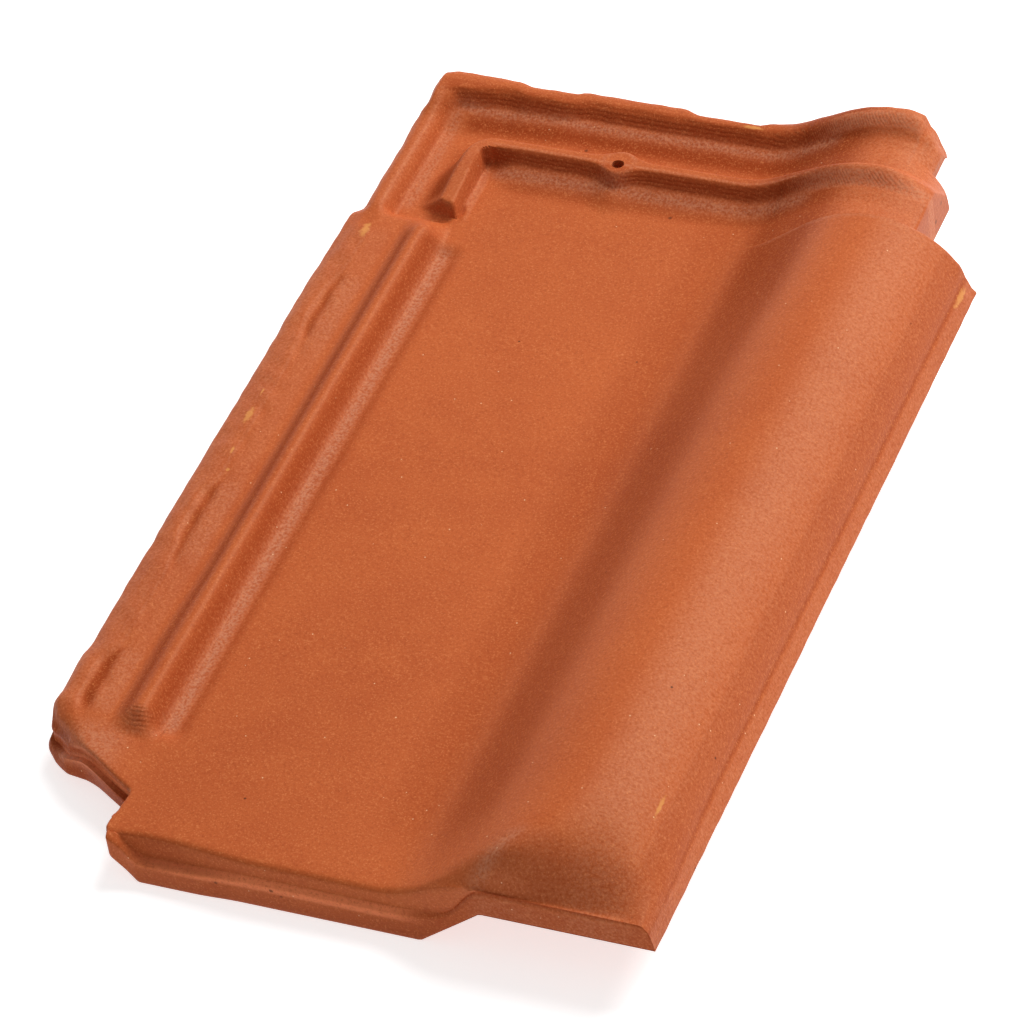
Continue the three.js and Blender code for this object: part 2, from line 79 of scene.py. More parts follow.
# %% [markdown]
# ## The tile's own sizes
# A tile maker draws a tile flat, in millimetres: X across it from the side lock to the roll, Y from the
# tail, which lies down the slope, to the head, and Z up from the face that the tail foot stands on. The
# mesh is made in that frame, and one function at the end tips it onto its lugs and puts it in the scene
# in metres. Keeping one set of driving sizes at the top means that a rib or a rim can be moved by
# changing one number.

# %% Driving sizes in millimetres
LENGTH = 405
SIDE_EDGE = 4
RIGHT_EDGE = 251
PAN_TOP = 19.5
PAN_THICKNESS = 13
ROLL_THICKNESS = 12
ROLL = dict(foot=147, crest=213, half_right=35.5, height=31)
FLANK = dict(straight_from=0.33, straight_to=0.56)
BODY_END = 341
LUG_BEARING = 346
LUG_DROP = 7
NOSE_EDGE_Z = 31.5
MILLIMETRE = 0.001

tip = math.atan2(LUG_DROP, LUG_BEARING)
print("The tile lies tipped by", round(math.degrees(tip), 2), "degrees")


# %% [markdown]
# ## Small shaping tools
# Pressed clay has no hard steps on its upper face: every rib rises from a fillet and rounds off at its
# crest. A smooth step is the simplest function with that shape, and a ridge is one smooth step up and
# one down. `wander` follows a few stations along an edge, for the places where the clay didn't quite
# fill the mould, and `wobble` adds the slow unevenness that drying leaves.

# %% Shaping tools
def smooth(t, start, end):
    s = np.clip((t - start) / (end - start), 0, 1)
    return s * s * (3 - 2 * s)


def mix(a, b, share):
    return a + (b - a) * share


def ridge(t, foot_a, top_a, top_b, foot_b):
    return np.minimum(smooth(t, foot_a, top_a), 1 - smooth(t, top_b, foot_b))


def soft_min(a, b, softness):
    return (a + b - np.hypot(a - b, softness)) / 2


def around(t, centre, half):
    return np.exp(-(((t - centre) / half) ** 2))


def wander(t, stations):
    places, values = np.array(stations, float).T
    i = np.clip(np.searchsorted(places, t) - 1, 0, len(places) - 2)
    return mix(values[i], values[i + 1], smooth(t, places[i], places[i + 1]))


def wobble(x, y, size, seed, count=14):
    rng = np.random.default_rng(seed)
    turn = rng.uniform(0, 2 * np.pi, count)
    start = rng.uniform(0, 2 * np.pi, count)
    pace = 2 * np.pi / (size * rng.uniform(0.7, 1.6, count))
    total = np.zeros(np.shape(x))
    for k in range(count):
        total = total + np.sin(pace[k] * (x * np.cos(turn[k]) + y * np.sin(turn[k])) + start[k])
    return total / math.sqrt(count)


def read(function, *place):
    return float(function(*(np.array([v], float) for v in place))[0])


print("A ridge reaches", read(lambda t: ridge(t, 0, 4, 6, 9), 5))


# %% [markdown]
# ## Pan and roll
# Seen from the tail, the tile is a flat pan and a roll: an S-shaped flank that bends up from the pan,
# runs straight and eases out to the crest, then a quarter ellipse down to the skirt. The same section
# runs the whole length, so it is a function of x alone. Beside the head the roll is one tile thickness
# lower, because the tile of the next course lies on it, and its right flank draws in towards the edge.

# %% Pan and roll sections
HEAD_ROLL = dict(foot=147, crest=204.5, height=22.3)
HEAD_FLANK = dict(at_body=38, at_step=20.3, at_edge=16.2, to_step=(362, 388), to_edge=(396, 404))


def flank_share(t):
    a, b = FLANK["straight_from"], FLANK["straight_to"]
    bend = np.minimum(t, a) ** 2 / (2 * a)
    straight = np.clip(t - a, 0, b - a)
    easing = np.maximum(t - b, 0)
    return 2 * (bend + straight + easing - easing**2 / (2 * (1 - b))) / (1 + b - a)


def roll_height(x, foot, crest, half_right, height):
    rise = np.clip((x - foot) / (crest - foot), 0, 1)
    fall = np.clip((x - crest) / half_right, 0, 1)
    left = height * flank_share(rise)
    return np.where(x < crest, left, height * np.sqrt(1 - fall * fall))


def body_top(x):
    return PAN_TOP + roll_height(x, **ROLL)


def head_top(x, y):
    f = HEAD_FLANK
    half = mix(f["at_body"], f["at_step"], smooth(y, *f["to_step"]))
    half = mix(half, f["at_edge"], smooth(y, *f["to_edge"]))
    lowered = PAN_TOP + roll_height(x, half_right=half, **HEAD_ROLL)
    return np.where(x < ROLL["crest"], np.minimum(lowered, body_top(x)), lowered)


print("Crest of the roll:", read(body_top, ROLL["crest"]), "mm")


# %% [markdown]
# ## The side lock
# The next tile's skirt drops into a channel on the left, so that side carries an outer rib, a flat band,
# a tall rib and the channel. The outer rib lies at the very edge of the slab, where the clay had the
# furthest to flow: its crest wanders, and in places it never filled. One crest line with a few stations
# gives that, instead of random noise, because the real one follows how the slab was laid.

# %% Side lock sizes
LOCK = dict(edge_z=19.6, band_z=22.8, valley_z=21.9, channel_z=17.7, rim_z=22.4)
LOCK_RUN = dict(tail=(46, 57), channel_tail=(44, 53), channel_head=(313, 321), rib_head=(319, 331))
LOCK_RIB = dict(foot=27.5, crest_left=37, crest_right=38, right=46.5, height=4.8, tail_spread=1.5)
LOCK_RIM = dict(edge_drop=0.8, edge_run=8, fall=(16, 50))
LOW_SIDE = (95, 130)
CHANNEL_RIGHT = 49.5
LOCK_PAN_EDGE = 56.5
OUTER_RIB_LINE = [(48, 13.5), (62, 11.2), (75, 11.2), (90, 16), (122, 16.3), (136, 14.0), (148, 12.2),
                  (165, 12.2), (178, 15.3), (235, 15.8), (250, 14.5), (266, 12.3), (282, 12.8),
                  (296, 16), (320, 16.6)]
OUTER_RIB_LIFT = 0.35
OUTER_VALLEY = dict(depth=0.75, full=13.4, none=15.8, end=19)


def edge_swell(x, start, end):
    t = np.clip((x - start) / (end - start), 0, 1)
    return 1 - (1 - t) ** 2.2


def unfilled(y):
    return 1 - smooth(wander(y, OUTER_RIB_LINE), OUTER_VALLEY["full"], OUTER_VALLEY["none"])


print("Outer rib unfilled at y 62:", round(read(unfilled, 62), 2))


# %% [markdown]
# The section is laid from the left edge to the right: the rim, the outer rib with the valley behind its
# unfilled places, the band, the tall rib and the channel. Each is mixed over the last one, and at both
# ends they run out along the tile.

# %% Side lock section
def lock_top(x, y):
    crest = wander(y, OUTER_RIB_LINE)
    rim = mix(LOCK["rim_z"], PAN_TOP, smooth(x, *LOCK_RIM["fall"]))
    swell = edge_swell(x, SIDE_EDGE - 1, SIDE_EDGE + LOCK_RIM["edge_run"])
    rim = mix(LOCK["edge_z"] - LOCK_RIM["edge_drop"], rim, swell)
    flank = edge_swell(x, SIDE_EDGE - 0.6, crest)
    outer = mix(LOCK["edge_z"], LOCK["band_z"] + OUTER_RIB_LIFT, flank)
    outer = outer - OUTER_RIB_LIFT * smooth(x, crest, crest + 4)
    outer = outer + 0.22 * wobble(x, y, 11, 21) * (1 - smooth(x, 16, 22)) * smooth(x, SIDE_EDGE, 7)
    valley = ridge(x, crest - 1.4, crest + 1.8, crest + 2.2, OUTER_VALLEY["end"])
    outer = outer - OUTER_VALLEY["depth"] * unfilled(y) * valley
    outer = outer - (LOCK["band_z"] - LOCK["valley_z"]) * smooth(x, 18, LOCK_RIB["foot"])
    run = ridge(y, *LOCK_RUN["channel_tail"], *LOCK_RUN["channel_head"])
    channel = mix(LOCK["channel_z"], PAN_TOP, smooth(x, CHANNEL_RIGHT, LOCK_PAN_EDGE))
    channel = mix(PAN_TOP, channel, run)
    r = LOCK_RIB
    foot = r["foot"] - r["tail_spread"] * (1 - smooth(y, *LOW_SIDE))
    rib = np.minimum(smooth(x, foot, r["crest_left"]), 1 - smooth(x, r["crest_right"], r["right"]))
    floor = mix(outer, channel, smooth(x, r["crest_left"], r["right"]))
    top = floor + r["height"] * rib * (1 - smooth(y, *LOCK_RUN["rib_head"]))
    return mix(rim, top, smooth(y, *LOCK_RUN["tail"]))


print("Lock rib crest:", round(read(lock_top, 37.5, 200), 2), "mm")


# %% [markdown]
# ## The head margin
# Up at the head the lock gives way to a plain rim with a gutter inside it, which leads stray water back
# onto the tile. The body is a little wider than the head, so the rim steps in at a short jog, and the pan
# ends there in a rounded corner. The step is a shift of x before the rim's shape is read.

# %% Head margin
HEAD_MARGIN = dict(edge=8.8, edge_z=20.4, crest=14.4, crest_z=24.0, foot=21.5, floor_z=18.0)
PAN_CORNER = dict(x=47.6, y=330.8, radius=9.2)
L_RIB = dict(x=41.8, y=370.4, corner=6.3, outer_foot=-9.6, outer_top=-2.2, wall=(0.6, 5.2))
JOG = (326.5, 331.5)
RIB_HOLLOW = dict(width=3.2, run=(336, 346))
BEHIND_L = (30, 80)


def head_inset(x, y):
    return (1 - smooth(x, SIDE_EDGE, 15)) * (HEAD_MARGIN["edge"] - SIDE_EDGE) * smooth(y, *JOG)


def pan_corner_distance(x, y):
    c = PAN_CORNER
    from_x = x - (c["x"] - c["radius"])
    from_y = (c["y"] + c["radius"]) - y
    corner = np.hypot(np.maximum(from_x, 0), np.maximum(from_y, 0)) - c["radius"]
    inside = np.maximum(from_x, from_y) - c["radius"]
    return np.where((from_x > 0) & (from_y > 0), corner, inside)


def margin_top(x, y):
    m = HEAD_MARGIN
    beside_rib = RIB_HOLLOW["width"] * smooth(y, *RIB_HOLLOW["run"])
    behind = smooth(y, L_RIB["y"] - 3, L_RIB["y"])
    inside_l = smooth(pan_corner_distance(x + beside_rib, y), -1.6, 0.9) * (1 - behind)
    behind_l = smooth(x, *BEHIND_L) * behind
    floor = mix(m["floor_z"], PAN_TOP, np.maximum(inside_l, behind_l))
    swell = mix(m["edge_z"], m["crest_z"], edge_swell(x, m["edge"] - 0.6, m["crest"]))
    return mix(swell, floor, smooth(x, m["crest"] + 0.4, m["foot"]))


print("Gutter beside the head rim:", round(read(margin_top, 24, 388), 1), "mm high")


# %% [markdown]
# ## The rib with the nail hole
# The inner rib carries the nail hole on a small boss and turns down on the left into a short rib, in one
# L. A rib that turns a corner is easiest as a signed distance: the distance from its centre line is
# taken first, round the corner too, and the same flank shape is then read from it everywhere. Its side
# towards the pan has a steep wall and a soft toe, which are two smooth steps mixed.

# %% L-shaped rib sizes and distance
SHORT_RIB = dict(foot=(-15.5, -15), top=(-3.5, -3.2), wall=(1.8, 3.6), fillet=(3, 7), scoop=1.7,
                 turns=(354, 372), ends=(44, 52), widens=(345, 362), low=0.72, rises=(332, 362))
SHORT_RIB_END = dict(x=44.9, y=334.2, turn=0.22, run=(-0.4, 2.0), fillet=(-4, 1.8), steep_share=0.72)
L_CORNER = (44, 60)
ROLL_RIB = dict(start=160, foot_to=185, wall_to=195, outer_foot=-7.5, outer_top=-0.6)
TOE = dict(start=1.5, end=17, share=0.45)
RIB_FADE = dict(start=206, end=226, share=0.7)
BOSS = dict(x=98.8, spread=6.6, front=4.3, back=3.9)
NAIL_HOLE = dict(x=98.6, y=369.9, radius=2.4)


def l_rib_distance(x, y):
    c = L_RIB
    centre_x, centre_y = c["x"] + c["corner"], c["y"] - c["corner"]
    turn = c["corner"] - np.hypot(np.minimum(x - centre_x, 0), np.maximum(y - centre_y, 0))
    straight = np.where(x >= centre_x, c["y"] - y, x - c["x"])
    return np.where((x < centre_x) & (y > centre_y), turn, straight)


print("The L rib's centre line is", round(read(l_rib_distance, 45, 350), 2), "mm away")


# %% [markdown]
# The share says how much of its full height the rib has at a place. Outside the centre line it rises on
# the outer flank, inside it falls on the inner wall, and at the nail hole the boss pushes both apart. The
# short rib's end is cut at a slant of about 13 degrees.

# %% Flanks and end of the L-shaped rib
def short_rib_end(x, y):
    c = SHORT_RIB_END
    along = (y - c["y"]) * math.cos(c["turn"]) + (x - c["x"]) * math.sin(c["turn"])
    cut = mix(smooth(along, *c["fillet"]), smooth(along, *c["run"]), c["steep_share"])
    return np.where(x < L_RIB["x"] + L_RIB["corner"], cut, 1)


def l_rib_share(x, y):
    d = l_rib_distance(x, y)
    swell = around(x, BOSS["x"], BOSS["spread"])
    d = np.where(d > 0, np.maximum(d - BOSS["front"] * swell, 0), np.minimum(d + BOSS["back"] * swell, 0))
    r, roll = SHORT_RIB, ROLL_RIB
    short = (1 - smooth(y, *r["turns"])) * (1 - smooth(x, *r["ends"]))
    wider = smooth(y, *r["widens"])
    over_roll = smooth(x, roll["start"], roll["foot_to"])
    foot = mix(mix(L_RIB["outer_foot"], roll["outer_foot"], over_roll), mix(*r["foot"], wider), short)
    top = mix(mix(L_RIB["outer_top"], roll["outer_top"], over_roll), mix(*r["top"], wider), short)
    scooped = np.clip((d - foot) / (top - foot), 0, 1) ** r["scoop"]
    outer = mix(smooth(d, foot, top), scooped, 0.9 * short)
    wall = smooth(d, *L_RIB["wall"])
    toe = smooth(d, TOE["start"], TOE["end"])
    roll_wall = 0.64 * smooth(d, -0.4, 7.2) + 0.36 * smooth(d, 1, 15)
    short_wall = 0.88 * smooth(d, *r["wall"]) + 0.12 * smooth(d, *r["fillet"])
    inner = mix(short_wall, mix(wall, toe, TOE["share"]), smooth(x, *L_CORNER))
    inner = 1 - mix(inner, roll_wall, smooth(x, roll["start"], roll["wall_to"]))
    fade = 1 - RIB_FADE["share"] * smooth(x, RIB_FADE["start"], RIB_FADE["end"])
    fade = fade * mix(mix(r["low"], 1, smooth(y, *r["rises"])), 1, smooth(x, *L_CORNER))
    return np.minimum(outer, inner) * short_rib_end(x, y) * fade


print("L rib beside the nail hole:", round(read(l_rib_share, 110, L_RIB["y"]), 2), "of its full height")


# %% [markdown]
# ## The outer head rib
# The outer rib stops water that the wind drives up the slope. It lies at the far end of the slab, where
# the mould fills last, so its wall wanders by a few millimetres. A line with a few stations gives that, as
# for the lock's outer rib. Its right end comes down in two short steps, which are two smooth steps mixed.

# %% Outer head rib
HEAD_RIB = dict(wall=395.8, top=401.8, foot=383.5, toe_top=398, toe_share=0.42, left=8, full=15)
HEAD_RIB_END = dict(first=(211.2, 213.4), second=(215.2, 217.6), first_share=0.58)
HEAD_CORNER = dict(gentle_to=15, steep_from=24, run=9)
RIB_HEIGHT = dict(pan=8.5, roll=6.5, inner_roll=5.6)
HEAD_WALL_LINE = [(10, -3.4), (23, -2.2), (40, -0.2), (63, -1.4), (76, 0.4), (100, 0), (150, 0)]


def head_rib_share(x, y):
    r, c = HEAD_RIB, HEAD_CORNER
    shift = wander(x, HEAD_WALL_LINE) + 0.25 * wobble(x, 0 * x, 14, 8)
    gentle = c["run"] * (1 - smooth(x, c["gentle_to"], c["steep_from"]))
    over_roll = smooth(x, ROLL_RIB["start"], ROLL_RIB["wall_to"])
    wall = smooth(y, r["wall"] + shift - gentle - 3.5 * over_roll, r["top"] + shift)
    toe = smooth(y, r["foot"] + 4 * over_roll + shift, r["toe_top"] + shift)
    share = mix(wall, toe, mix(r["toe_share"], 0.28, over_roll))
    e = HEAD_RIB_END
    end = mix(1 - smooth(x, *e["second"]), 1 - smooth(x, *e["first"]), e["first_share"])
    return share * edge_swell(x, r["left"], r["full"]) * end


print("Head rib on the pan:", round(read(head_rib_share, 100, 402), 2), "of its full height")


# %% [markdown]
# ## The tail
# The pan stops in a low wall with a narrow ledge under it, where the two mould halves met. The wall
# stands steep in a thin strip of y, so `tail_shift` moves its points along instead of adding rows. On
# the right the roll ends in a blunt nose: a rounded lip, a steep start, then a slope that eases into the
# crest. An exponential has that shape with one number for its reach and one for its bend.

# %% Tail sizes and shift
LEDGE = dict(z=11.8, z_left=9.4, z_at_nose=23.5, left_depth=3.3, depth=1.7, wall=2.0, crease=2.6,
             even=(66, 104), corner=(48, 60), left_rise=1.1, rise=1.7)
LEDGE_LEAN = 0.7
LEDGE_RUN = dict(starts=(47, 61), deepens=(61, 104), climb=37, meets_nose=(174, 190), thins=(150, 187),
                 thinnest=0.12)
SHIFT_LENGTH = 24
ROUNDING = 5.5
NOSE = dict(start=150, end=184, length=50, left_reach=3.4, right_reach=12.8, reach_run=(196, 226),
            left_bend=1.25, right_bend=1.55, bend_run=(224, 243), lip=0.5)
SKIRT = dict(top=247.2, top_at_tail=249.4, edge_z=20.6, bottom_z=20, inner=243.2)


def tail_shift(x, y):
    even = smooth(x, *LEDGE["even"])
    depth = mix(LEDGE["left_depth"], LEDGE["depth"], even)
    depth = mix(depth, LEDGE_RUN["thinnest"], smooth(x, *LEDGE_RUN["thins"]))
    lean = LEDGE_LEAN * (1 - even) * smooth(x, *LEDGE["corner"])
    at_wall = depth - LEDGE["wall"]
    at_crease = depth + lean + 0.4 - LEDGE["crease"]
    front = at_wall * y / LEDGE["wall"]
    wall = mix(at_wall, at_crease, (y - LEDGE["wall"]) / (LEDGE["crease"] - LEDGE["wall"]))
    behind = at_crease * np.clip(1 - (y - LEDGE["crease"]) / SHIFT_LENGTH, 0, 1)
    return np.where(y < LEDGE["wall"], front, np.where(y < LEDGE["crease"], wall, behind))


print("The wall at the tail is moved by", round(read(tail_shift, 100, LEDGE["crease"]), 2), "mm")


# %% [markdown]
# The ledge starts at the lock, deepens, and climbs to meet the nose. Over it stand the wall of the pan and
# the nose of the roll. They change into one another where the roll starts to rise.

# %% Ledge, wall and nose
def tail_top(x, y, body_z):
    along = np.clip((x - NOSE["start"]) / LEDGE_RUN["climb"], 0, 1)
    ledge_z = mix(LEDGE["z_left"], LEDGE["z"], smooth(x, *LEDGE_RUN["deepens"]))
    ledge_z = mix(PAN_TOP - 0.1, ledge_z, smooth(x, *LEDGE_RUN["starts"]))
    ledge_z = mix(ledge_z, LEDGE["z_at_nose"], along**2)
    rise = smooth(x, NOSE["start"], NOSE["end"])
    crease_z = mix(PAN_TOP - 0.9 * smooth(x, 49, 58), NOSE_EDGE_Z, rise)
    ledge_z = mix(ledge_z, crease_z - 0.4, smooth(x, *LEDGE_RUN["meets_nose"]))
    crease_z = np.minimum(crease_z, body_z)
    run = np.clip((y - LEDGE["crease"]) / mix(ROUNDING, NOSE["length"], rise), 0, 1)
    wall = soft_min(crease_z + 1.05 * (y - LEDGE["crease"]), body_z, 1.1 * (1 - run))
    reach = mix(NOSE["left_reach"], NOSE["right_reach"], smooth(x, *NOSE["reach_run"]))
    bend = mix(NOSE["left_bend"], NOSE["right_bend"], smooth(x, *NOSE["bend_run"]))
    behind_lip = np.maximum(y - LEDGE["crease"] - NOSE["lip"], 0)
    left_to_rise = np.exp(-(behind_lip / reach) ** bend) * (1 - run**4)
    nose = body_z - (body_z - crease_z) * left_to_rise
    upper = mix(wall, nose, smooth(x, NOSE["start"] + 14, NOSE["end"]))
    rise_back = mix(LEDGE["left_rise"], LEDGE["rise"], smooth(x, *LEDGE["even"]))
    ledge_z = np.minimum(ledge_z + rise_back * np.clip(y / LEDGE["wall"], 0, 1) ** 1.4, crease_z)
    return mix(ledge_z, upper, smooth(y, LEDGE["wall"] - 0.05, LEDGE["crease"] + 0.05))


print("The ledge lies", round(PAN_TOP - LEDGE["z"], 1), "mm below the pan")


# %% [markdown]
# ## The whole upper face
# The zones are laid over one another in the order in which they sit on the tile: pan and roll first, the
# lock and the head margin over their left part, then the ribs, the boss, and last the tail. Ribs are
# joined by taking the higher share, because adding them would raise a spike where two of them cross. At
# the notch's outer corner the clay was thin, so the face drops there.

# %% Upper face
NOTCH_DROP = dict(x=4, y=49, across=0.555, along=0.832, reach=7, depth=4.2, ends=(9, 24), from_y=30)
FOLD_GROOVE = dict(depth=0.35, half=0.6, starts=(8, 20))
HEAD_CHIP = dict(run=(333, 340), depth=1.3, at=249.4, half=1.2, lip=0.8, lip_at=245.4, lip_half=1.1)


def face_before_skirt(x, y):
    base = np.where(y <= BODY_END, body_top(x), head_top(x, y))
    base = mix(body_top(x), base, smooth(y, BODY_END, BODY_END + 1.2))
    zone = 1 - smooth(x, LOCK_PAN_EDGE, LOCK_PAN_EDGE + mix(1.5, 28, smooth(y, 366, 370)))
    margin = margin_top(x + head_inset(x, y), y)
    locked = mix(lock_top(x, y), margin, smooth(y, 326, 332))
    top = mix(base, locked, zone)
    on_roll = mix(RIB_HEIGHT["inner_roll"], RIB_HEIGHT["roll"], smooth(y, 380, 386))
    height = mix(RIB_HEIGHT["pan"], on_roll, smooth(x, 160, 204))
    share = np.maximum(l_rib_share(x, y), head_rib_share(x + head_inset(x, y), y))
    raised = np.maximum(top, base + height)
    top = np.where(y > 322, mix(top, raised, share), top)
    n = NOTCH_DROP
    from_corner = (x - n["x"]) * n["across"] + (y - n["y"]) * n["along"]
    drop = n["depth"] * np.clip(1 - from_corner / n["reach"], 0, 1.1) ** 2.2
    drop = drop * (1 - smooth(x, *n["ends"])) * (y > n["from_y"])
    return np.where(y < NOSE["length"] + 6, tail_top(x, y, top), top) - drop


def upper_face(x, y):
    on_body = y <= BODY_END + 0.1
    before = np.where(on_body, np.minimum(x, SKIRT["top"]), x)
    down = on_body * np.clip((x - SKIRT["top"]) / (RIGHT_EDGE - SKIRT["top"]), 0, 1)
    top = mix(face_before_skirt(before, y), SKIRT["edge_z"], down)
    g, c = FOLD_GROOVE, HEAD_CHIP
    fold = on_body * smooth(y, *g["starts"])
    groove = g["depth"] * around(x, SKIRT["top"], g["half"]) * (1 + 0.5 * wobble(x, y, 9, 31))
    chipped = c["depth"] * around(x, c["at"], c["half"]) - c["lip"] * around(x, c["lip_at"], c["lip_half"])
    return top - fold * groove - on_body * smooth(y, *c["run"]) * chipped


print("Nail rib:", round(read(upper_face, 120, L_RIB["y"]) - PAN_TOP, 1), "mm above the pan")


# %% [markdown]
# ## The underside
# Underneath, the pan is flat and the roll is hollow, so that the neighbour's lock fits inside it. The
# tail stands on a foot, and near the head two lugs hook over the batten. A height function does for all
# of it: the lugs' bearing faces lean by a third of a millimetre, which reads as upright.

# %% Hollow, head and lugs from below
HOLLOW = dict(foot=156, half_right=30.2)
FOOT = dict(left=57.0, side=47, side_z=10.9, right=163, depth=12)
NOTCH_FLOOR_Z = 4.7
LUG = dict(centres=(82, 142), half_width=13, root=15, thickness=15, back=7)
HEAD_STEPS = dict(body=225.5, rib=219.5, at=386)
HEAD_HOLLOW = dict(foot_inset=8, half_right=24, half_at_end=60, widens=(384.5, 387.5))
LEAST_WALL = dict(body=5.6, end=0.7)


def hollow_ceiling(x):
    pan = PAN_TOP - PAN_THICKNESS
    crest_z = PAN_TOP + ROLL["height"] - ROLL_THICKNESS
    left = pan + roll_height(x, HOLLOW["foot"], ROLL["crest"], 1, crest_z - pan)
    right = SKIRT["bottom_z"] + roll_height(x, 0, ROLL["crest"], HOLLOW["half_right"],
                                            crest_z - SKIRT["bottom_z"])
    arch = np.where(x < ROLL["crest"], left, right)
    return np.where(x > SKIRT["inner"], SKIRT["bottom_z"], arch)


def head_underside(x, y):
    pan = PAN_TOP - PAN_THICKNESS
    h = HEAD_HOLLOW
    foot = HEAD_ROLL["foot"] + h["foot_inset"]
    half = mix(h["half_right"], h["half_at_end"], smooth(y, *h["widens"]))
    return pan + roll_height(x, foot, HEAD_ROLL["crest"], half, HEAD_ROLL["height"] + 1)


def lug_depth(x, y):
    depth = np.zeros(np.shape(x))
    for centre in LUG["centres"]:
        along = y - LUG_BEARING
        half = mix(LUG["half_width"], LUG["root"], np.clip(along / LUG["thickness"], 0, 1) * 0.3)
        side = 1 - smooth(np.abs(x - centre), half - 0.6, half + 1.6)
        back = 1 - np.clip((along - LUG["thickness"] + LUG["back"] - 3) / LUG["back"], 0, 1)
        depth = np.maximum(depth, side * back * smooth(along, -0.1, 0.25))
    return depth * (PAN_TOP - PAN_THICKNESS + LUG_DROP)


print("A lug hangs", round(read(lug_depth, 82, LUG_BEARING + 5), 1), "mm down")


# %% [markdown]
# The lower face puts them together, with the foot under the tail and the thin floor under the notch. Beside
# the head the wall keeps a least thickness, so the two faces never touch.

# %% Lower face
def lower_face(x, y):
    under_head = smooth(y, BODY_END - 20, BODY_END - 5) * (1 - smooth(x, HEAD_STEPS["body"], 231))
    body = mix(hollow_ceiling(x), head_underside(x, y), under_head)
    near_notch = ridge(y, 14, 20, 52, 75) * (1 - smooth(x, 44, 50))
    body = mix(body, NOTCH_FLOOR_Z, near_notch)
    side = FOOT["side_z"] * np.clip((FOOT["left"] - x) / (FOOT["left"] - FOOT["side"]), 0, 1)
    nose = SKIRT["bottom_z"] * np.clip((x - FOOT["right"]) / (187 - FOOT["right"]), 0, 1)
    tail = np.where(x < FOOT["left"], side, np.minimum(nose, body))
    body = mix(tail, body, smooth(y, FOOT["depth"], FOOT["depth"] + 3))
    at_end = np.maximum(smooth(y, 394, 402), smooth(y, 374, 384) * smooth(x, 219.6, 222))
    thinnest = mix(LEAST_WALL["body"], LEAST_WALL["end"], at_end)
    at_head = (y > BODY_END - 3) & (x > 190) & (x < 227)
    body = np.where(at_head, np.minimum(body, upper_face(x, y) - thinnest), body)
    return body - lug_depth(x, y)


print("Wall at the crest:", round(read(upper_face, 213, 200) - read(lower_face, 213, 200), 1), "mm")


# %% [markdown]
# ## The outline
# In plan the tile is a rectangle with a notch at the lock's tail end and two steps at the head, so that
# the tiles don't pile up where four of them meet. The outline is a short list of corners, each with its
# own small radius, sampled at the same lines as the grid of the upper face.

# %% Outline corners
NOTCH = [(4, 53.5), (4.4, 48.4), (9.2, 43.9), (14.6, 39.8), (22, 37), (28.5, 33.6), (41.4, 26), (46.6, 23)]
CORNERS = [
    (47.6, 0, 1.6), (RIGHT_EDGE, 0, 0.5), (RIGHT_EDGE, BODY_END, 0.5), (HEAD_STEPS["body"], BODY_END, 0.3),
    (HEAD_STEPS["body"], HEAD_STEPS["at"], 1.0), (HEAD_STEPS["rib"], HEAD_STEPS["at"], 0.4),
    (HEAD_STEPS["rib"], LENGTH, 2.4), (SIDE_EDGE, LENGTH, 3.0),
] + [(x, y, 5 if x < 20 else 2.5) for x, y in NOTCH] + [(45.6, 15, 3), (45.6, 4.5, 2.5)]


def spaced(*runs):
    lines = [np.array([runs[0][0]], float)]
    for start, end, step in runs:
        count = max(1, round((end - start) / step))
        lines.append(np.linspace(start, end, count + 1)[1:])
    return np.concatenate(lines)


ACROSS = spaced((SIDE_EDGE, 60, 0.8), (60, 84, 2.2), (84, 114, 1.2), (114, 146, 2.2), (146, 207, 1.45),
                (207, 219.5, 0.9), (219.5, 240, 1.45), (240, 246, 0.75), (246, 248.4, 0.4),
                (248.4, RIGHT_EDGE, 0.85))
ALONG = spaced((0, 1.6, 0.4), (1.6, 3, 0.2), (3, 6, 0.6), (6, 44, 1.5), (44, 64, 1.1), (64, 312, 2.4),
               (312, BODY_END, 1.1), (BODY_END, 343, 0.4), (343, 353, 1.2), (353, 382, 0.65),
               (382, 391, 1.2), (391, LENGTH, 0.6))
BELOW_ACROSS = spaced((SIDE_EDGE, 44, 8), (44, 68, 2), (68, 97, 2), (97, 127, 10), (127, 158, 2),
                      (158, 252, 2.2))
BELOW_ALONG = spaced((-1, 11.5, 2.5), (11.5, 16, 0.8), (16, 316, 12), (316, 345.5, 3), (345.5, 346.5, 0.2),
                     (346.5, 366, 1.2), (366, 408, 4))
print("Grid of the upper face:", len(ACROSS), "by", len(ALONG))


# %% [markdown]
# The corners become arcs, and the straight runs between them are cut where the grid lines cross them, so
# the rim of the mesh meets its inner rows without slivers.

# %% Arcs and cut runs
def arc_points(before, corner, after, radius):
    corner = np.array(corner, float)
    a = np.array(before, float) - corner
    b = np.array(after, float) - corner
    reach_a, reach_b = np.linalg.norm(a), np.linalg.norm(b)
    a, b = a / reach_a, b / reach_b
    opening = math.acos(float(np.clip(a @ b, -1, 1)))
    reach = min(radius / math.tan(opening / 2), reach_a * 0.45, reach_b * 0.45)
    start, end = corner + a * reach, corner + b * reach
    count = 5 if radius > 1 else 3
    steps = np.linspace(0, 1, count)
    return [(1 - t) ** 2 * start + 2 * t * (1 - t) * corner + t * t * end for t in steps]


